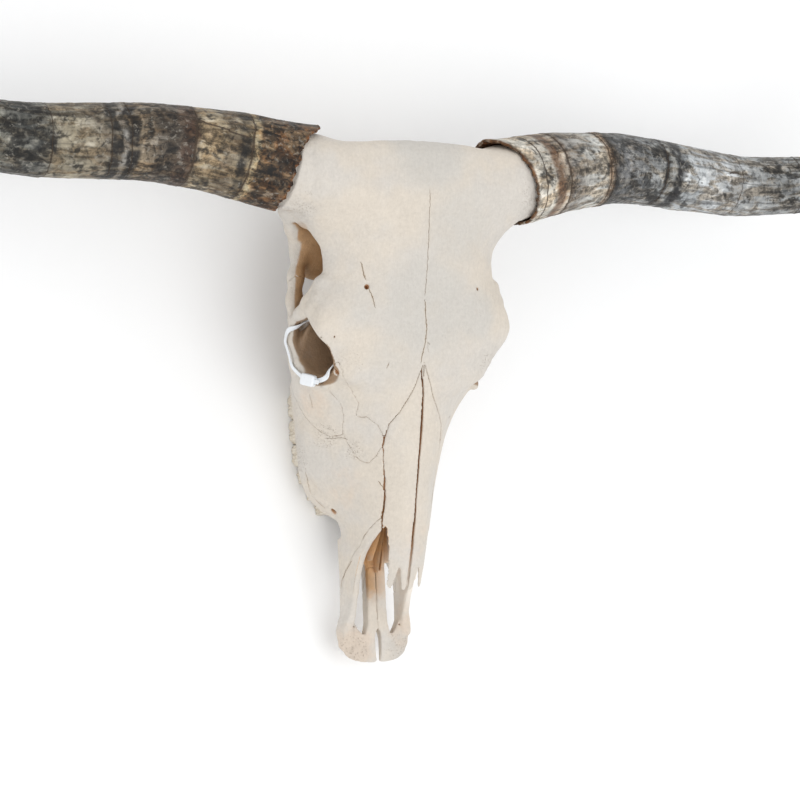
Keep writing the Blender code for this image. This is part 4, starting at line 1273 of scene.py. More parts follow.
@dataclass(frozen=True)
class HornSheath:
    """A hollow horn sheath with growth rings, a ragged rim and a painted coat."""

    side: Side
    seed: int
    zones: Stations
    bands: Stations
    lines: Stations
    mottle: Stations
    fibres: Stations
    rim: Stations
    flare: Stations
    cracks: Sequence[Stations]
    rust: Stations
    path: Stations
    radius: Stations = ((0, 45.5), (50, 43.6), (80, 41.5), (145, 37.8), (225, 36), (285, 34.3),
                        (375, 32), (460, 29), (540, 24.5), (620, 18.5), (690, 11.5), (730, 5.5),
                        (740, 2.5))
    socket: float = 44.0        # how far in the bore ends
    bore: float = 36.5          # its radius there
    bore_taper: float = 0.07
    wall: float = 3.2
    lip: float = 2.0            # how far the rim is rounded
    flare_fade: float = 22.0
    contrast: tuple[float, float] = (3.4, 7.0)  # everywhere, and more by the mottle
    lining_rows: int = 26
    rows: int = 500
    columns: int = 168

    def middle(self, t: Array) -> tuple[Array, Array, Array]:
        """Middle line and the two directions across it.

        Args:
            t: distance along the horn, below zero past the base.

        Returns:
            Places, upward directions and forward directions, one row for each t.
        """
        def at(s: Array) -> Array:
            """Places on the path, carried on straight before its start."""
            return np.stack(curves(self.path, s), axis=-1) + np.minimum(s, 0)[..., None] * CORE_AXIS

        ahead = at(t + 1.5) - at(t - 1.5)
        ahead /= np.linalg.norm(ahead, axis=-1)[..., None]
        up = np.array([0, 0, 1.0]) - ahead * ahead[..., 2:]
        up /= np.linalg.norm(up, axis=-1)[..., None]
        return at(t), up, np.cross(ahead, up)

    def around(self, stations: Stations, turn: Array) -> Array:
        """A value that varies round the horn, through (turn, value) stations that close up."""
        rows = [(s[0] - 1, s[1]) for s in stations] + list(stations) + [(s[0] + 1, s[1]) for s in stations]
        return curve(rows, turn)

    def grid(self) -> tuple[Array, Array, Array, Array]:
        """Rows from the socket's end out over the rim and along the outside to the tip.

        Returns:
            Distance along, turn, radius before relief, and how much relief counts.
        """
        turn = np.arange(self.columns) / self.columns
        noise = Noise(self.seed)
        circle = np.stack([np.cos(turn * 2 * np.pi), np.sin(turn * 2 * np.pi), 0 * turn], axis=1)
        edge = self.around(self.rim, turn) + 2.2 * noise.at(circle, 0.12, 2) + 1.0 * noise.at(circle, 0.045)
        flare = self.around(self.flare, turn)
        wall = self.wall * (1 + 0.35 * noise.at(circle + 3, 0.15, 2))

        def outer(t: Array) -> Array:
            """Radius outside: the horn's own, with the rim's flare dying away from the rim."""
            return curve(self.radius, t) + flare * np.exp(-np.maximum(t - edge, 0) / self.flare_fade)

        none = 0 * turn
        rim, tip = edge + self.lip, self.path[-1][0]
        rows = [(none + self.socket, none + r, none) for r in (12.6, 25.2)]
        for u in np.linspace(0, 1, self.lining_rows):
            t = self.socket + (rim - self.socket) * u
            inner = self.bore + self.bore_taper * (self.socket - t)
            rows.append((t, inner * (1 - u) + (outer(t) - wall) * u, none + 0.15 * u))
        for a in np.linspace(-0.4, 0.4, 4) * np.pi:
            rows.append((rim - self.lip * math.cos(a), outer(edge) - wall * (0.5 - 0.5 * math.sin(a)),
                         none + 0.3))
        for u in np.linspace(0, 1, self.rows):
            t = rim + (tip - rim) * u
            rows.append((t, outer(t), none + 0.3 + 0.7 * min(1, u * 30)))
        for a in np.array([0.35, 0.7, 0.9]) * np.pi / 2:
            rows.append((none + tip + 0.9 * math.sin(a), none + self.radius[-1][1] * math.cos(a), none + 0.5))
        t, radius, relief = (np.array(part) for part in zip(*rows))
        return t, np.broadcast_to(turn, t.shape), radius, relief

    def build(self) -> Mesh:
        """Make the mesh and paint its attributes."""
        t, turn, radius, relief = self.grid()
        angle = turn * 2 * np.pi
        straight = np.stack([radius * np.cos(angle), radius * np.sin(angle), t], axis=-1).reshape(-1, 3)
        bumps = self.relief(straight, t.ravel()).reshape(t.shape)
        place, up, front = self.middle(t)
        r = (radius + relief * bumps)[..., None]
        at = place + r * (np.cos(angle)[..., None] * up + np.sin(angle)[..., None] * front)
        straight = np.concatenate([straight, [[0, 0, self.socket], [0, 0, self.path[-1][0] + 1]]])
        mesh = tubes(f"horn_{self.side.tag}", [at], self.side)
        inner = np.arange(t.size) < (2 + self.lining_rows) * self.columns
        self.paint(mesh, straight, np.concatenate([turn.ravel(), [0, 0]]),
                   np.concatenate([inner, [True, False]]))
        return mesh

    def relief(self, straight: Array, t: Array) -> Array:
        """Height above the smooth horn: lumps, fibres along it, and a step at each growth line."""
        noise = Noise(self.seed + 1)
        high = 0.55 * noise.at(straight, (17, 17, 30), 2) + 0.35 * noise.at(straight, (3.5, 3.5, 45), 2)
        high += 0.25 * noise.at(straight, (30, 30, 5), 2)
        stray = self.wave(straight)
        for at, _ in self.lines:
            off = t - at - stray
            high += 0.75 * np.exp(-np.clip(off, -1, None) / 9) * (off > -1) - 0.9 * np.exp(-(off / 1.1) ** 2)
        return high * smooth(self.path[-1][0], 600, t)

    def wave(self, straight: Array) -> Array:
        """How far the growth lines stray, in millimetres."""
        flat = straight * np.array([1, 1, 0])
        noise = Noise(self.seed + 2)
        return 1.8 * noise.at(flat, 22) + 0.7 * noise.at(flat, 7)

    def paint(self, mesh: Mesh, straight: Array, turn: Array, inner: Array) -> None:
        """Store the coat's colour, the straightened place, rust and the dark lines.

        Args:
            mesh: the sheath.
            straight: each corner's place with the horn's bend taken out.
            turn: each corner's turn round the horn.
            inner: which corners lie inside the sheath.
        """
        t = straight[:, 2]
        noise, other = Noise(self.seed + 3), Noise(self.seed + 4)
        coat = np.stack(curves([(z[0], *tone(*z[1:])) for z in self.zones], t), axis=1)
        light = noise.at(straight, (14, 14, 22), 3)
        coat *= (1 + 0.35 * light)[:, None]
        blotch = noise.at(straight + 50, (9, 9, 12), 4) + 0.35 * other.at(straight, (3, 3, 4), 2)
        share = curve(self.mottle, t)
        dark = smooth(0.62 - 0.75 * share, 0.80 - 0.55 * share, blotch) * smooth(0, 0.08, share)
        coat *= (1 - 0.80 * dark)[:, None]
        pale = smooth(0.35, 0.75, other.at(straight + 20, (6, 6, 9), 3)) * (1 - dark)
        coat += (pale * 0.10)[:, None] * np.array([1.0, 0.96, 0.86])
        streak = other.at(straight, (2.6, 2.6, 60), 3) + 0.5 * noise.at(straight, (6, 6, 120), 2)
        coat *= (1 - curve(self.fibres, t) * smooth(0.15, 0.75, streak))[:, None]
        waves = noise.at(straight * np.array([1, 1, 0.3]), 16, 3)
        for band in (Band(*row) for row in self.bands):
            stray = band.wave * waves
            away = np.abs(t - band.at - stray) / band.half
            cover = smooth(1 + band.soft, 1 - band.soft, away)
            cover *= band.strength * np.clip(1 + 0.7 * other.at(straight, (5, 5, 7), 3), 0, 1.3)
            cover = np.clip(cover, 0, 1)[:, None]
            coat = coat * (1 - cover) + np.array(tone(*band.tone)) * cover
        near_rim = t - self.around(self.rim, turn)
        inside = np.array(tone(96, 66, 38)) * (1 + 0.5 * noise.at(straight, (4, 4, 14), 3))[:, None]
        torn = np.where(inner, 1.0, smooth(4.5, 1.0, near_rim + 2.0 * other.at(straight, 3.0, 2)))[:, None]
        coat = coat * (1 - torn) + inside * torn
        colours = np.concatenate([np.clip(coat, 0.004, 0.9), np.ones((len(coat), 1))], axis=1)
        put(mesh, "coat", colours, "FLOAT_COLOR")
        put(mesh, "straight", straight, "FLOAT_VECTOR")
        rusty = curve(self.rust, t) * smooth(-0.3, 0.5, noise.at(straight + 9, (10, 10, 8), 3) + 0.1)
        put(mesh, "rusty", np.where(inner, 0.6, rusty))
        put(mesh, "contrast", self.contrast[0] + self.contrast[1] * share)
        self.draw_lines(mesh, straight, turn)

    def draw_lines(self, mesh: Mesh, straight: Array, turn: Array) -> None:
        """Store the distance to the nearest growth line or crack, and the half-width there."""
        t = straight[:, 2]
        lines = Nearest(len(t))
        stray = self.wave(straight)
        for at, half in self.lines:
            lines.offer(t - at - stray, half)
        centre = (turn + 0.5) % 1 - 0.5
        size = curve(self.radius, t) * 2 * np.pi
        for crack in self.cracks:
            rows = np.array(crack, float)
            for (t0, c0, w0), (t1, c1, w1) in zip(rows[:-1], rows[1:]):
                span = np.array([t1 - t0, (c1 - c0) * size.mean()])
                dx, dy = t - t0, (centre - c0) * size
                u = np.clip((dx * span[0] + dy * span[1]) / (span @ span), 0, 1)
                ox, oy = dx - u * span[0], dy - u * span[1]
                off = np.hypot(ox, oy) * np.sign(oy * span[0] - ox * span[1] + 1e-9)
                lines.offer(off, w0 + (w1 - w0) * u)
        lines.store(mesh)


# ---- teeth
@dataclass(frozen=True)
class CheekTeeth:
    """Six cheek teeth of one side, three small and three large, worn flat on the floor."""

    side: Side
    lengths: tuple[float, ...] = (15.5, 17.5, 18.5, 23.5, 26.0, 27.0)
    front: float = 156.0
    gap: float = 0.12
    floor_gap: float = 0.05
    top: float = 36.0
    squareness: float = 3.2
    worn_size: float = 0.97
    columns: int = 120

    def build(self) -> Mesh:
        """All six crowns as one mesh of closed shells, with the attribute worn."""
        crowns, worn, start = [], [], self.front
        for number, length in enumerate(self.lengths):
            rows, shade = self.crown(start + self.gap, start + length - self.gap, number)
            crowns.append(rows)
            worn += [shade.ravel(), [0.0, shade[-1].mean()]]
            start += length
        mesh = tubes(f"cheek_teeth_{self.side.tag}", crowns, self.side)
        put(mesh, "worn", np.concatenate(worn))
        return mesh

    def crown(self, low: float, high: float, number: int) -> tuple[Array, Array]:
        """One crown: rounded-box outline with ribs, carried down and closed over the worn face.

        Args:
            low: where the tooth starts.
            high: where it ends.
            number: which tooth of the row it is.

        Returns:
            Rows of places from the root to the middle of the worn face, and how worn each is.
        """
        angle = np.arange(self.columns) / self.columns * 2 * np.pi
        half, middle_y = (high - low) / 2, (high + low) / 2
        lobes = 1 if number < 3 else 2
        c, s = np.cos(angle), np.sin(angle)
        box = (np.abs(c) ** self.squareness + np.abs(s) ** self.squareness) ** (-1 / self.squareness)
        along = half * box * s
        wide = curve(((156, 5), (180, 7.5), (210, 9.8), (270, 10.6), (284, 8.5)), middle_y)
        across = wide * box * c
        for rib in (-1, -0.05, 0.9) if lobes == 2 else (-0.9, 0.1):
            across = across + np.where(c > 0, 1.7, 0) * np.exp(-((along - rib * half) / 1.2) ** 2)
        across = across + np.where(c > 0.2, 0.8, 0) * np.abs(np.sin(np.pi * (middle_y + along) / 4.4))
        waist = np.exp(-(along / (0.22 * half)) ** 2) * (lobes - 1)
        across = across - np.sign(c) * 1.5 * waist * (np.abs(c) > 0.3)
        if lobes == 2:
            across = across - np.sign(c) * 0.5 * np.cos(np.pi * lobes * along / half / 1.05)
        middle_x = curve(((156, 32), (170, 39), (190, 48.5), (215, 56), (260, 58), (284, 56)), middle_y)
        rows, shade = [], []
        flat = 0 * angle
        for z in (self.top, 30, 24, 20, 16, 12, 9, 6, 4, 2.4, 1.2, 0.5):
            size = 0.93 + 0.07 * smooth(40, 8, z) - 0.03 * (z < 1)
            rows.append(np.stack([middle_x + 0.10 * (z - 5) + across * size, middle_y + along * size,
                                  z + flat], axis=1))
            shade.append(flat)
        foot_x = rows[-1][:, 0].mean()
        for v in (0.95, 0.91, 0.86, 0.8, 0.74, 0.68, 0.6, 0.52, 0.44, 0.36, 0.28, 0.2, 0.12, 0.05):
            px, py = across * v * self.worn_size, along * v * self.worn_size
            ring = np.full(self.columns, 50.0)
            for k in range(lobes):
                cy = 0 if lobes == 1 else (k - 0.5) * half
                bow = 0.12 * (py - cy) ** 2 / max(half / lobes, 1) * 2
                ring = np.minimum(ring, np.hypot((px - bow + 1) / 2.4, (py - cy) / (0.55 * half / lobes)))
            ridge = np.exp(-((ring - 1) / 0.22) ** 2)
            pit = smooth(0.9, 0.2, ring)
            depth = 1.3 * smooth(0.97, 0.8, v) * (1 - ridge) + 2.2 * pit
            rows.append(np.stack([foot_x + px, middle_y + py, self.floor_gap + depth], axis=1))
            shade.append(np.clip(smooth(0.95, 0.82, v) * (1 - ridge) + 0.5 * pit, 0, 1))
        return np.array(rows), np.array(shade)


# ---- thin bones in the nose
@dataclass(frozen=True)
class NoseBlade:
    """A thin curled blade of bone: stations of y, x, z, half-height, half-thickness and lean."""

    name: str
    stations: Stations
    curl: float
    rows: int = 90
    columns: int = 40

    def build(self) -> Mesh:
        """Lens-shaped sections, bent by the curl, carried along y and closed at both ends."""
        y = np.linspace(self.stations[0][0], self.stations[-1][0], self.rows)
        x, z, high, thick, lean = (column[:, None] for column in curves(self.stations, y))
        angle = (np.arange(self.columns) / self.columns * 2 * np.pi)[None, :]
        up = high * np.sin(angle)
        side = thick * np.cos(angle) + self.curl * (up / high.max()) ** 2
        ragged = 0.35 * np.sin(y * 1.9 + 2 * np.sin(y * 0.7))[:, None] * np.sin(angle) ** 3
        at = np.stack([x + side * np.cos(lean) + up * np.sin(lean), y[:, None] + 0 * up,
                       z - side * np.sin(lean) + (up + ragged) * np.cos(lean)], axis=-1)
        mesh = tubes(self.name, [at])
        # Painted shade: more shelter and more brown deeper in the nose; the brown is partly stain.
        deep = np.concatenate([np.repeat(smooth(95, 150, y), self.columns), [0, 1]])
        put(mesh, "shelter", 0.45 + 0.35 * deep)
        put(mesh, "hollow_stain_and_shade", 0.75 + 0.25 * deep)
        put(mesh, "amber", 0 * deep + 1)
        return mesh


def nose_blades() -> list[NoseBlade]:
    """The vomer's and the turbinates' blades; on each side they start at their own y."""
    made = []
    for name, starts, curl, front, others in (
            ("vomer", (92, 94), 1.2, (2.2, 52, 3, 0.5, 0.15),
             ((120, 2.6, 57, 8, 0.9, 0.2), (160, 3, 62, 13, 1.2, 0.25), (206, 3, 66, 16, 1.5, 0.25))),
            ("turbinate", (104, 100), 5.0, (17, 66, 3, 0.5, 0.6),
             ((130, 19, 78, 9, 0.9, 0.5), (165, 21, 88, 15, 1.2, 0.4), (206, 22, 94, 18, 1.5, 0.3)))):
        for side, start in zip(Side, starts):
            s = side.value
            rows = [(y, s * x, z, high, thick, -s * lean)
                    for y, x, z, high, thick, lean in ((start, *front), *others)]
            made.append(NoseBlade(f"{name}_{side.tag}", rows, -s * curl))
    return made


# ---- cable tie
@dataclass(frozen=True)
class CableTie:
    """A white tie round the outer rim of the right eye socket: band, locking block, cut tail."""

    shape: SkullShape
    width: float = 4.8
    thickness: float = 1.4
    clearance: float = 1.4
    head: Triple = (16.0, 12.0, 8.0)
    tail: Triple = (7.0, 4.4, 1.3)
    head_at: int = 218
    route: Stations = (
        (100.5, 286.5, 109), (106, 294, 100), (110.5, 308, 95), (113, 326, 94), (112.5, 338, 98),
        (107, 346, 108), (98, 348, 116), (90, 343, 121), (84, 334, 125), (80, 320, 130),
        (78, 307, 137), (82, 295, 142), (90, 285, 133.5), (95.5, 282.5, 120.5))

    def frame(self) -> tuple[Array, Array, Array, Array]:
        """The closed middle line, pushed clear of the bone, and the directions at each point."""
        corner = np.array(self.route, float)
        count = len(corner)
        t = np.arange(0, count, 0.0625)
        i = np.floor(t).astype(int)
        u = (t - i)[:, None]
        a, b, c, d = (corner[(i + k) % count] for k in (-1, 0, 1, 2))
        line = 0.5 * (2 * b + (c - a) * u + (2 * a - 5 * b + 4 * c - d) * u**2
                      + (3 * b - a - 3 * c + d) * u**3)
        wanted = self.clearance + self.thickness / 2
        for _ in range(12):
            room = self.shape.at(line)
            line = line + self.shape.slope(line) * np.clip(wanted - room, 0, 2)[:, None]
            for _ in range(10):
                line = 0.5 * line + 0.25 * (np.roll(line, 1, axis=0) + np.roll(line, -1, axis=0))
        along = np.roll(line, -1, axis=0) - np.roll(line, 1, axis=0)
        along /= np.linalg.norm(along, axis=1)[:, None]
        up = self.shape.slope(line)
        for _ in range(60):
            up = up + np.roll(up, 1, axis=0) + np.roll(up, -1, axis=0)
            up -= np.sum(up * along, axis=1)[:, None] * along
            up /= np.linalg.norm(up, axis=1)[:, None]
        return line, along, np.cross(along, up), up

    def band(self, line: Array, across: Array, up: Array) -> Mesh:
        """Rounded flat section carried round the closed line, ribbed on its inner face."""
        angle = np.arange(16) / 16 * 2 * np.pi
        c, s = np.cos(angle), np.sin(angle)
        box = (np.abs(c) ** 5 + np.abs(s) ** 5) ** -0.2
        ribs = 0.10 * (np.arange(len(line)) % 2)[:, None] * (s < -0.2)[None, :]
        high = (self.thickness / 2 * box * s)[None, :] + ribs
        at = (line[:, None, :] + across[:, None, :] * (self.width / 2 * box * c)[None, :, None]
              + up[:, None, :] * high[..., None])
        rows, columns = at.shape[:2]
        i, j = np.meshgrid(np.arange(rows), np.arange(columns), indexing="ij")
        k, n = (i + 1) % rows, (j + 1) % columns
        faces = np.stack([i * columns + j, i * columns + n, k * columns + n, k * columns + j], axis=-1)
        return new_mesh("tie_band", placed(at.reshape(-1, 3), Side.RIGHT), faces.reshape(-1, 4))

    def block(self, name: str, centre: Array, axes: Array, size: Sequence[float],
              power: float) -> Mesh:
        """A rounded block: a sphere's grid pushed out to a superellipsoid.

        Args:
            name: the mesh's name.
            centre: its middle.
            axes: three rows of directions.
            size: its three sizes.
            power: how boxy it is.

        Returns:
            The closed mesh.
        """
        v = np.linspace(-0.5, 0.5, 40)[1:-1][:, None] * np.pi
        h = (np.arange(64) / 64 * 2 * np.pi)[None, :]
        rows = np.stack([np.cos(v) * np.cos(h), np.cos(v) * np.sin(h), np.sin(v) + 0 * h], axis=-1)
        rows /= (np.abs(rows) ** power).sum(axis=-1, keepdims=True) ** (1 / power)
        slot = smooth(0.55, 0.35, np.abs(rows[..., 1])) * smooth(0.35, 0.2, np.abs(rows[..., 2]))
        rows[..., 0] -= np.sign(rows[..., 0]) * 0.16 * slot * (np.abs(rows[..., 0]) > 0.7)
        at = centre + (rows * np.array(size) / 2) @ axes
        return tubes(name, [at], Side.RIGHT)

    def build(self, look: Material) -> None:
        """Make the band, its locking block and the cut tail that leaves the block."""
        line, along, across, up = self.frame()
        i = self.head_at
        axes = np.stack([along[i], across[i], up[i]])
        centre = line[i] + up[i] * (self.head[2] - self.thickness) / 2
        tail = centre - along[i] * (self.head[0] / 2 + 1.2) + up[i] * 0.6
        for mesh in (self.band(line, across, up), self.block("tie_block", centre, axes, self.head, 6),
                     self.block("tie_tail", tail, axes, self.tail, 8)):
            new_piece(mesh.name, mesh, look, "cable_tie")


# ---- the whole skull
@dataclass(frozen=True)
class Rough:
    """A region where the bone's surface is uneven: an ellipsoid, the grain's size and its depth."""

    centre: Triple
    radii: Triple
    cell: float
    depth: float
    seed: int

    def apply(self, lattice: Lattice, field: Array) -> None:
        """Add waves to the field, strongest at the centre and none at the ellipsoid."""
        low = np.array(self.centre) - np.array(self.radii)
        window = lattice.window(low, low + 2 * np.array(self.radii))
        part = lattice.part(window)
        p = lattice.place(window)
        away = sum(((p[i] - self.centre[i]) / self.radii[i]) ** 2 for i in range(3))
        field[window] += self.depth * smooth(1, 0.35, away) * part.waves(self.seed, self.cell)


@dataclass(frozen=True)
class Bones:
    """The eleven bones of the skull, cut apart along their sutures."""

    shape: SkullShape
    sutures: Sutures
    details: Sequence[Detail]
    roughs: Sequence[Rough]
    paint: BonePaint
    corner: tuple[float, float] = (-6.25, -2.5)
    counts: Counts = (143, 426, 176)

    def lattice(self) -> tuple[Lattice, Array]:
        """The whole skull's lattice and the field on it, with wear and openings."""
        half = Lattice((0.0, *self.corner), self.counts)
        field = half.fill(self.shape.field)
        LOG.info("field of one half filled")
        field = np.concatenate([field[:0:-1], field])
        lattice = Lattice((STEP * (1 - self.counts[0]), *self.corner), field.shape)
        field += 0.22 * lattice.waves(11, 16.0) + 0.10 * lattice.waves(12, 5.0)
        for rough in self.roughs:
            rough.apply(lattice, field)
        for detail in self.details:
            detail.apply(lattice, field)
        return lattice, field

    def build(self, look: Material) -> None:
        """Mesh, paint and place every bone."""
        lattice, field = self.lattice()
        waves = 1.3 * lattice.waves(21, 5.5) + 0.8 * lattice.waves(22, 2.6)
        for name, part, own in self.sutures.part(lattice, field, waves):
            mesh = field_mesh(f"{name}_bone", part, own)
            self.paint.dress(mesh)
            new_piece(mesh.name, mesh, look, name)


def wear() -> list[Detail]:
    """Holes, grooves and crests: those of both sides first, then those of one side."""
    cut, add = Work.CUT, Work.ADD
    mirrored = (
        (cut, ((47, 152, 47, 3.0), (42, 168, 48, 2.6)), 2),          # infraorbital hole
        (cut, ((69, 371, 186.5, 7.0), (64, 347, 184.5, 6.5), (60, 329, 181.5, 6.0),
               (54, 309, 178, 5.0)), 5),                             # supraorbital groove
        (add, ((69, 204, 27, 3.2), (67, 188, 33, 3.2), (61, 174, 42, 2.6), (53, 164, 46, 1.6)),
         5),                                                         # facial crest
        (cut, ((75, 196, 40, 3.4), (68, 180, 47, 3.2), (60, 168, 51, 2.4)), 4),
        (cut, ((28, 36, 50, 1.2), (27, 38, 40, 1.0)), 0.8),          # hole in the muzzle
        (cut, ((30, 18, 44.5, 2.2), (36, 30, 46, 1.2)), 2),
        (cut, ((96, 284, 150, 3.0), (84, 290, 143, 2.6)), 2),        # notch in the eye's rim
        (cut, ((70, 318, 126, 6.0), (62, 322, 122, 3.0)), 4),        # back of the socket
        (cut, ((66, 302, 118, 2.4), (58, 298, 116, 1.4)), 1.5))
    right = (
        (cut, ((65.2, 371.5, 182, 2.7), (63.5, 369, 172, 2.2)), 1.0),
        (cut, ((70.5, 398, 180, 0.2), (67, 384, 179.3, 0.9), (65, 374, 179, 1.1)), 0.5),
        (cut, ((64.5, 369, 178.6, 1.1), (61, 358, 178.8, 0.8), (55, 347, 178.6, 0.2)), 0.5),
        (cut, ((113, 381, 103, 1.1), (108, 381, 101, 0.8)), 0.5),
        (cut, ((58, 327, 128, 1.2), (54, 327, 127, 0.8)), 0.5),
        (cut, ((108, 322, 161, 1.0), (106, 322, 150, 0.8)), 0.5),
        (cut, ((96, 322, 164, 1.0), (95, 322, 153, 0.8)), 0.5),
        (cut, ((47, 155, 49, 2.2), (43, 160, 50, 1.8)), 1.5))
    left = (
        (cut, ((65.2, 372, 181, 1.7), (64, 370, 172, 1.4)), 0.8),
        (add, ((31, 102, 86, 2.0), (33, 95, 75, 2.2), (34, 85, 66, 2.2), (28, 80, 60, 1.6)), 2),
        (cut, ((38, 94, 66, 1.0), (33, 88, 60, 0.8)), 0.6))
    rows = [(side, row) for row in mirrored for side in Side]
    rows += [(Side.RIGHT, row) for row in right] + [(Side.LEFT, row) for row in left]
    return [Detail(side, *row) for side, row in rows]


def roughness() -> list[Rough]:
    """Where the surface is uneven: rims, crests, the muzzle's ends and the roots of the horns."""
    made = [Rough((0, 505, 190), (110, 26, 40), 7, 0.9, 31)]
    for side in Side:
        s = side.value
        made += [
            Rough((84 * s, 315, 158), (24, 46, 26), 2.6, 1.1, 40 + s),
            Rough((96 * s, 285, 138), (20, 26, 26), 3.0, 1.3, 43 + s),
            Rough((118 * s, 470, 165), (36, 58, 62), 3.4, 1.25, 46 + s),
            Rough((30 * s, 12, 42), (28, 32, 18), 3.2, 1.2, 49 + s),
            Rough((66 * s, 220, 26), (16, 80, 16), 3.2, 1.3, 52 + s),
            Rough((55 * s, 225, 108), (30, 40, 30), 3.0, 0.55, 55 + s),
            Rough((40 * s, 130, 95), (14, 60, 40), 3.0, 0.5, 58 + s)]
    return made


def cracks() -> list[Crack]:
    """Thin lines on the bone, one of them painted shade beside the right facial crest; the animal's right,
    below zero, is the picture's left.
    """
    return [Crack(points, half_width) for half_width, points in (
        (0.12, ((-3, 470, 208), (-1, 445, 202), (0, 416, 195), (-1, 387, 189), (-2, 357, 184))),
        (0.32, ((-2, 360, 184), (-2, 347, 183), (1, 328, 178), (0, 313, 175), (-3, 303, 173),
                (-4, 294, 172))),
        (0.2, ((1, 318, 176), (5, 313, 175.5))),
        (0.5, ((-70, 395, 178), (-68, 385, 178), (-65, 376, 178))),
        (0.38, ((-65, 372, 178), (-61, 364, 179), (-56, 348, 178))),
        # painted shade: a dark line beside the right facial crest, where its shadow falls
        (0.25, ((-73, 201, 39), (-66, 180, 38), (-58, 168, 37), (-50, 159, 41))),
        (0.35, ((-36, 106, 65), (-36, 100, 55), (-35, 93, 45), (-36, 86, 38), (-35, 76, 34))),
        (0.3, ((-34, 182, 123), (-31, 177, 124), (-29, 174, 126))),
        (0.2, ((-42, 290.5, 167), (-39, 295, 168))),
        (0.15, ((-92.5, 275, 96), (-89, 267, 92), (-84, 258, 86))),
        (0.10, ((-72, 230, 80), (-66, 228, 92), (-61, 228, 102), (-54, 223, 110))),
        (0.35, ((-1.5, 40, 44), (-1.5, 70, 46), (-1.5, 120, 52))))]


def patches() -> dict[str, list[Patch]]:
    """Where the bone is porous, grey (weathered, and at the poll partly painted shade), warm, amber instead
    of umber, or lightened by a patch of painted light.

    Returns:
        For each attribute its patches, from rows of x, y, z, radius and strength.
    """
    rows = {
        "pitted": ((-74, 232, 88, 26, 0.6), (-52, 214, 110, 18, 0.6), (-122, 462, 165, 34, 0.8),
                   (122, 470, 175, 34, 0.7), (-80, 300, 160, 26, 0.4), (88, 300, 150, 30, 0.4)),
        # the grey at the poll, (0, 505, 190), is partly weathering and partly painted shade
        "grey": ((0, 350, 184, 85, 0.9), (0, 505, 190, 70, 1.0), (35, 430, 198, 70, 0.7),
                 (-30, 300, 170, 50, 0.6), (-62, 350, 178, 40, 0.6), (60, 345, 176, 45, 0.8),
                 (-70, 268, 120, 24, 0.5), (8, 180, 146, 40, 0.35), (-28, 20, 44, 30, 0.5)),
        "warm": ((-30, 15, 44, 38, 1.1), (34, 30, 46, 34, 0.8), (-86, 265, 92, 34, 0.6),
                 (-40, 180, 80, 46, 0.5), (30, 60, 50, 40, 0.5), (0, 120, 130, 40, 0.4)),
        "amber": ((0, 130, 80, 75, 1.0), (0, 80, 46, 45, 0.35)),
        # painted light on the shaded inner wall of the left muzzle blade
        "bleached": ((32, 88, 56, 44, 1.0),)}
    on_both = {
        "pitted": ((30, 12, 42, 26, 0.9), (68, 220, 26, 34, 0.6), (36, 500, 70, 30, 0.5),
                   (46, 250, 38, 60, 0.4)),
        "amber": ((90, 405, 122, 85, 0.36),)}
    for name, half in on_both.items():
        rows[name] += tuple((side.value * x, *rest) for side in Side for x, *rest in half)
    return {name: [Patch((x, y, z), radius, strength) for x, y, z, radius, strength in patch_rows]
            for name, patch_rows in rows.items()}


# ---- the two horns
def course(*back: float) -> Stations:
    """A horn's path: shared lengths, places to the side and heights, with its own y at each."""
    along = (0, 80, 165, 260, 330, 400, 470, 540, 610, 680, 740)
    aside = (124, 202, 286, 380, 449, 517, 580, 634, 677, 709, 728)
    height = (159, 150, 139.5, 129, 126, 135, 160, 200, 250, 308, 362)
    return tuple(zip(along, aside, back, height))


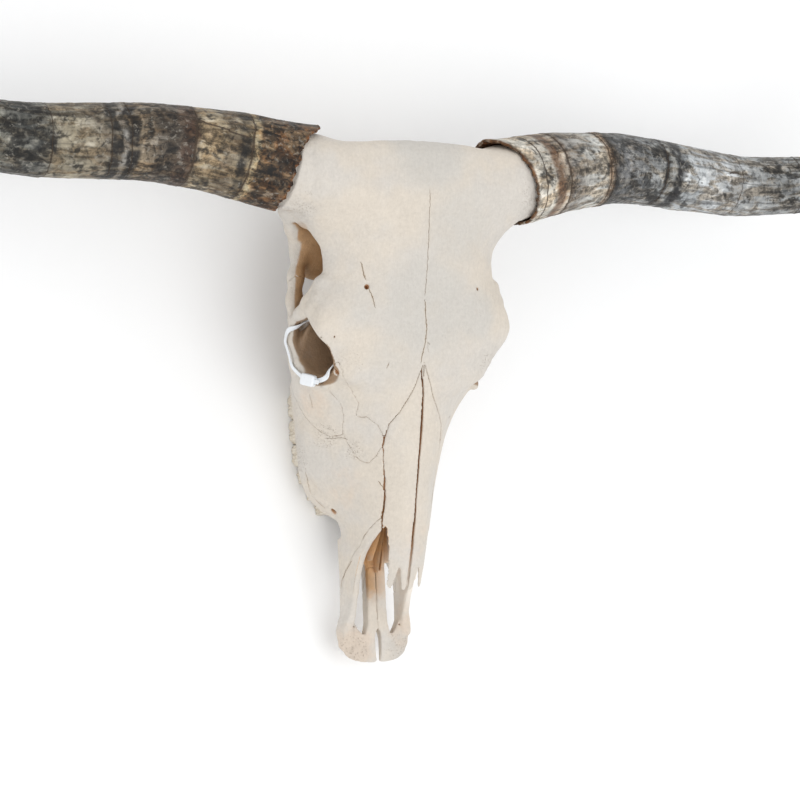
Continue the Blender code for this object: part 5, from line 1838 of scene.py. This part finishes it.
def right_horn() -> HornSheath:
    """The picture's left horn: rust-brown at its root, cream and grey further out."""
    black = (34, 31, 29)
    return HornSheath(
        Side.RIGHT, 101,
        zones=((-30, 112, 92, 68), (20, 112, 92, 68), (50, 116, 98, 74), (70, 140, 127, 104),
               (112, 146, 134, 112), (124, 92, 80, 68), (150, 86, 77, 66), (176, 122, 110, 92),
               (205, 132, 123, 107), (250, 136, 128, 110), (270, 106, 104, 96), (330, 86, 86, 81),
               (420, 104, 100, 92), (520, 80, 76, 70), (620, 44, 42, 40), (740, 26, 25, 25)),
        bands=((30, 22, (58, 44, 32), 0.45, 9), (59, 3.2, (170, 158, 130), 0.7, 1.5),
               (70, 5.5, black, 0.75, 3), (84, 7, (66, 54, 44), 0.45, 6), (127, 9, (66, 50, 40), 0.75, 4),
               (146, 9, (60, 54, 48), 0.55, 8), (183, 6.5, black, 0.9, 4), (200, 7, (44, 42, 40), 0.9, 4),
               (191, 2.5, (128, 126, 122), 0.6, 3), (214, 4, (84, 76, 68), 0.4, 6),
               (284, 14, (42, 44, 44), 0.6, 12), (318, 10, (120, 118, 108), 0.4, 9),
               (360, 12, (74, 52, 32), 0.4, 9), (440, 9, black, 0.6, 7), (520, 10, black, 0.5, 8)),
        lines=((63, 1.1), (119, 1.0), (182, 0.3), (202, 0.4), (262, 0.3), (345, 0.4), (430, 0.5),
               (500, 0.4)),
        mottle=((-30, 1.0), (40, 1.0), (62, 0.5), (72, 0.22), (112, 0.25), (122, 0.5), (172, 0.45),
                (210, 0.4), (225, 0.12), (255, 0.2), (275, 0.65), (340, 0.7), (420, 0.4), (740, 0.2)),
        fibres=((-30, 0.5), (60, 0.45), (120, 0.35), (200, 0.45), (250, 0.55), (330, 0.6), (740, 0.5)),
        rim=((0, 15), (0.1, 16), (0.2, 17), (0.3, 14), (0.45, 8), (0.62, 4), (0.72, -2), (0.78, -9),
             (0.83, -8.5), (0.88, 3), (0.94, 10)),
        flare=((0, -1.2), (0.25, -1.5), (0.5, 0), (0.72, 2.0), (0.8, 4.5), (0.88, 2.5), (0.94, -0.5)),
        cracks=(((70, -0.03, 1.2), (88, -0.05, 0.9), (112, -0.075, 0.7), (138, -0.10, 1.4),
                 (150, -0.11, 0.3)),),
        rust=((-30, 1.0), (25, 0.85), (58, 0.5), (66, 0.15), (740, 0.05)),
        path=course(487, 504, 513, 512, 517, 527, 543, 560, 576, 588, 595))


def left_horn() -> HornSheath:
    """The picture's right horn: lifted off its core, cream at its root, blue-grey further out, where a light
    band is partly a painted reflection.
    """
    black = (30, 30, 32)
    return HornSheath(
        Side.LEFT, 201,
        # the light blue-grey from 232 to 295 mm along is partly the horn's colour and partly a painted
        # reflection of the light above
        zones=((-30, 202, 197, 186), (24, 196, 191, 180), (30, 128, 110, 94), (40, 158, 144, 128),
               (48, 188, 181, 168), (56, 156, 153, 147), (100, 172, 172, 168), (116, 140, 132, 122),
               (124, 104, 104, 104), (190, 122, 124, 124), (206, 110, 112, 112), (232, 164, 168, 170),
               (295, 166, 169, 171), (330, 140, 142, 142), (400, 132, 134, 134), (480, 118, 116, 112),
               (580, 88, 84, 80), (660, 48, 46, 44), (740, 26, 25, 25)),
        bands=((34, 5.5, (106, 82, 62), 0.7, 3), (50, 4, (96, 82, 72), 0.6, 2),
               (62, 7, (108, 104, 100), 0.45, 6), (112, 4, (140, 118, 96), 0.6, 2),
               (120, 5, black, 0.7, 3), (134, 9, (66, 68, 70), 0.45, 8), (164, 12, (84, 86, 88), 0.4, 9),
               (194, 2.6, black, 0.9, 1.5), (203, 4, (150, 150, 146), 0.5, 3),
               (214.5, 7, black, 0.95, 4, 0.6), (300, 9, (120, 116, 108), 0.35, 8),
               (420, 8, (90, 88, 86), 0.5, 6), (500, 9, black, 0.5, 7)),
        lines=((13, 0.7), (48, 1.2), (110, 0.8), (116, 0.5), (196, 0.5), (310, 0.25), (400, 0.5),
               (480, 0.4)),
        mottle=((-30, 0.05), (30, 0.15), (60, 0.22), (105, 0.2), (122, 0.65), (190, 0.6), (225, 0.5),
                (236, 0.1), (330, 0.18), (420, 0.3), (740, 0.2)),
        fibres=((-30, 0.12), (60, 0.2), (120, 0.3), (225, 0.35), (240, 0.55), (400, 0.6), (740, 0.5)),
        rim=((0, -5), (0.1, -1), (0.25, 4), (0.4, 0), (0.55, -8), (0.7, -20), (0.78, -27), (0.85, -20),
             (0.93, -11)),
        flare=((0, 1.2), (0.1, 0.6), (0.25, 0.4), (0.5, 0.8), (0.7, 2.4), (0.8, 3.6), (0.93, 2.4)),
        cracks=(((290, -0.02, 0.8), (297, -0.03, 1.8), (303, -0.025, 0.6)),),
        rust=((-30, 0.35), (12, 0.18), (30, 0.3), (48, 0.2), (60, 0.03), (108, 0.12), (122, 0.02),
              (740, 0.02)),
        path=course(487, 504, 513, 508, 504, 506, 514, 526, 540, 552, 560))


# ---- studio
@dataclass(frozen=True)
class Studio:
    """Floor, soft light from above, and the camera of the picture."""

    floor_size: float = 9.0
    floor_z: float = -0.0002
    floor_cells: int = 12
    camera_at: Triple = (-1.27598, -0.30007, 2.31276)
    right: Triple = (0.86603, -0.05955, 0.49644)
    up: Triple = (0.0, 0.99288, 0.11910)
    back: Triple = (-0.5, -0.10314, 0.85986)
    lens: float = 112.5

    def floor(self) -> None:
        """A flat sheet under the teeth, worked out on a coarse grid."""
        n = self.floor_cells
        u = np.linspace(-0.5, 0.5, n + 1) * self.floor_size
        x, y = np.meshgrid(u, u, indexing="ij")
        points = np.stack([x, y, np.full_like(x, self.floor_z)], axis=-1).reshape(-1, 3)
        i, j = np.meshgrid(np.arange(n), np.arange(n), indexing="ij")
        corner = i * (n + 1) + j
        faces = np.stack([corner, corner + n + 1, corner + n + 2, corner + 1], axis=-1)
        mesh = bpy.data.meshes.new("floor")
        mesh.from_pydata(points.tolist(), [], faces.reshape(-1, 4).tolist())
        mesh.materials.append(StudioFloor().material())
        sheet = bpy.data.objects.new("floor", mesh)
        bpy.context.scene.collection.objects.link(sheet)

    def light(self) -> None:
        """White surroundings, a large soft box above and a weaker card beside the cheek."""
        scene = bpy.context.scene
        scene.view_settings.view_transform = "Standard"
        world = bpy.data.worlds.new("white_room")
        world.use_nodes = True
        sky = world.node_tree.nodes["Background"]
        sky.inputs["Color"].default_value = (1.0, 1.0, 1.0, 1)
        sky.inputs["Strength"].default_value = 0.955
        scene.world = world
        self.lamp("soft_box", size=(2.6, 2.2), watts=27, at=(0.35, -1.1, 3.0), aim=(0, 0.05, 0))
        self.lamp("side_card", size=(1.8, 1.4), watts=4.5, at=(-2.4, -0.9, 1.3), aim=(0, -0.05, 0.08))

    def lamp(self, name: str, size: tuple[float, float], watts: float, at: Sequence[float],
             aim: Sequence[float]) -> None:
        """Hang one rectangular soft light.

        Args:
            name: its name.
            size: its width and height.
            watts: its power.
            at: where it hangs.
            aim: the place that it faces.
        """
        light = bpy.data.lights.new(name, "AREA")
        light.shape = "RECTANGLE"
        light.size, light.size_y = size
        light.energy = watts
        lamp = bpy.data.objects.new(name, light)
        turn = (Vector(aim) - Vector(at)).to_track_quat("-Z", "Y")
        lamp.matrix_world = Matrix.Translation(at) @ turn.to_matrix().to_4x4()
        bpy.context.scene.collection.objects.link(lamp)

    def camera(self) -> None:
        """The camera that frames the skull as the picture does, the horns running out of it."""
        lens = bpy.data.cameras.new("camera")
        lens.lens = self.lens
        lens.sensor_width = 36.0
        lens.clip_end = 50.0
        eye = bpy.data.objects.new("camera", lens)
        turn = Matrix((self.right, self.up, self.back)).transposed()
        eye.matrix_world = Matrix.Translation(Vector(self.camera_at)) @ turn.to_4x4()
        bpy.context.scene.collection.objects.link(eye)
        bpy.context.scene.camera = eye


def main() -> None:
    """Build the bones, teeth, horns and tie, then the studio."""
    logging.basicConfig(level=logging.INFO, format="%(message)s")
    shape = SkullShape()
    bone = DryBone().material()
    Bones(shape, Sutures(shape), wear(), roughness(), BonePaint(shape, cracks(), patches())).build(bone)
    enamel = CheekToothEnamel().material()
    for side in Side:
        new_piece(f"cheek_teeth_{side.tag}", CheekTeeth(side).build(), enamel, f"maxilla_{side.tag}")
    for blade in nose_blades():
        new_piece(blade.name, blade.build(), bone)
    keratin = HornKeratin().material()
    for sheath in (right_horn(), left_horn()):
        tag = sheath.side.tag
        new_piece(f"horn_sheath_{tag}", sheath.build(), keratin, f"horn_{tag}")
    CableTie(shape).build(WhiteNylon().material())
    studio = Studio()
    studio.floor()
    studio.light()
    studio.camera()


if __name__ == "__main__":
    main()
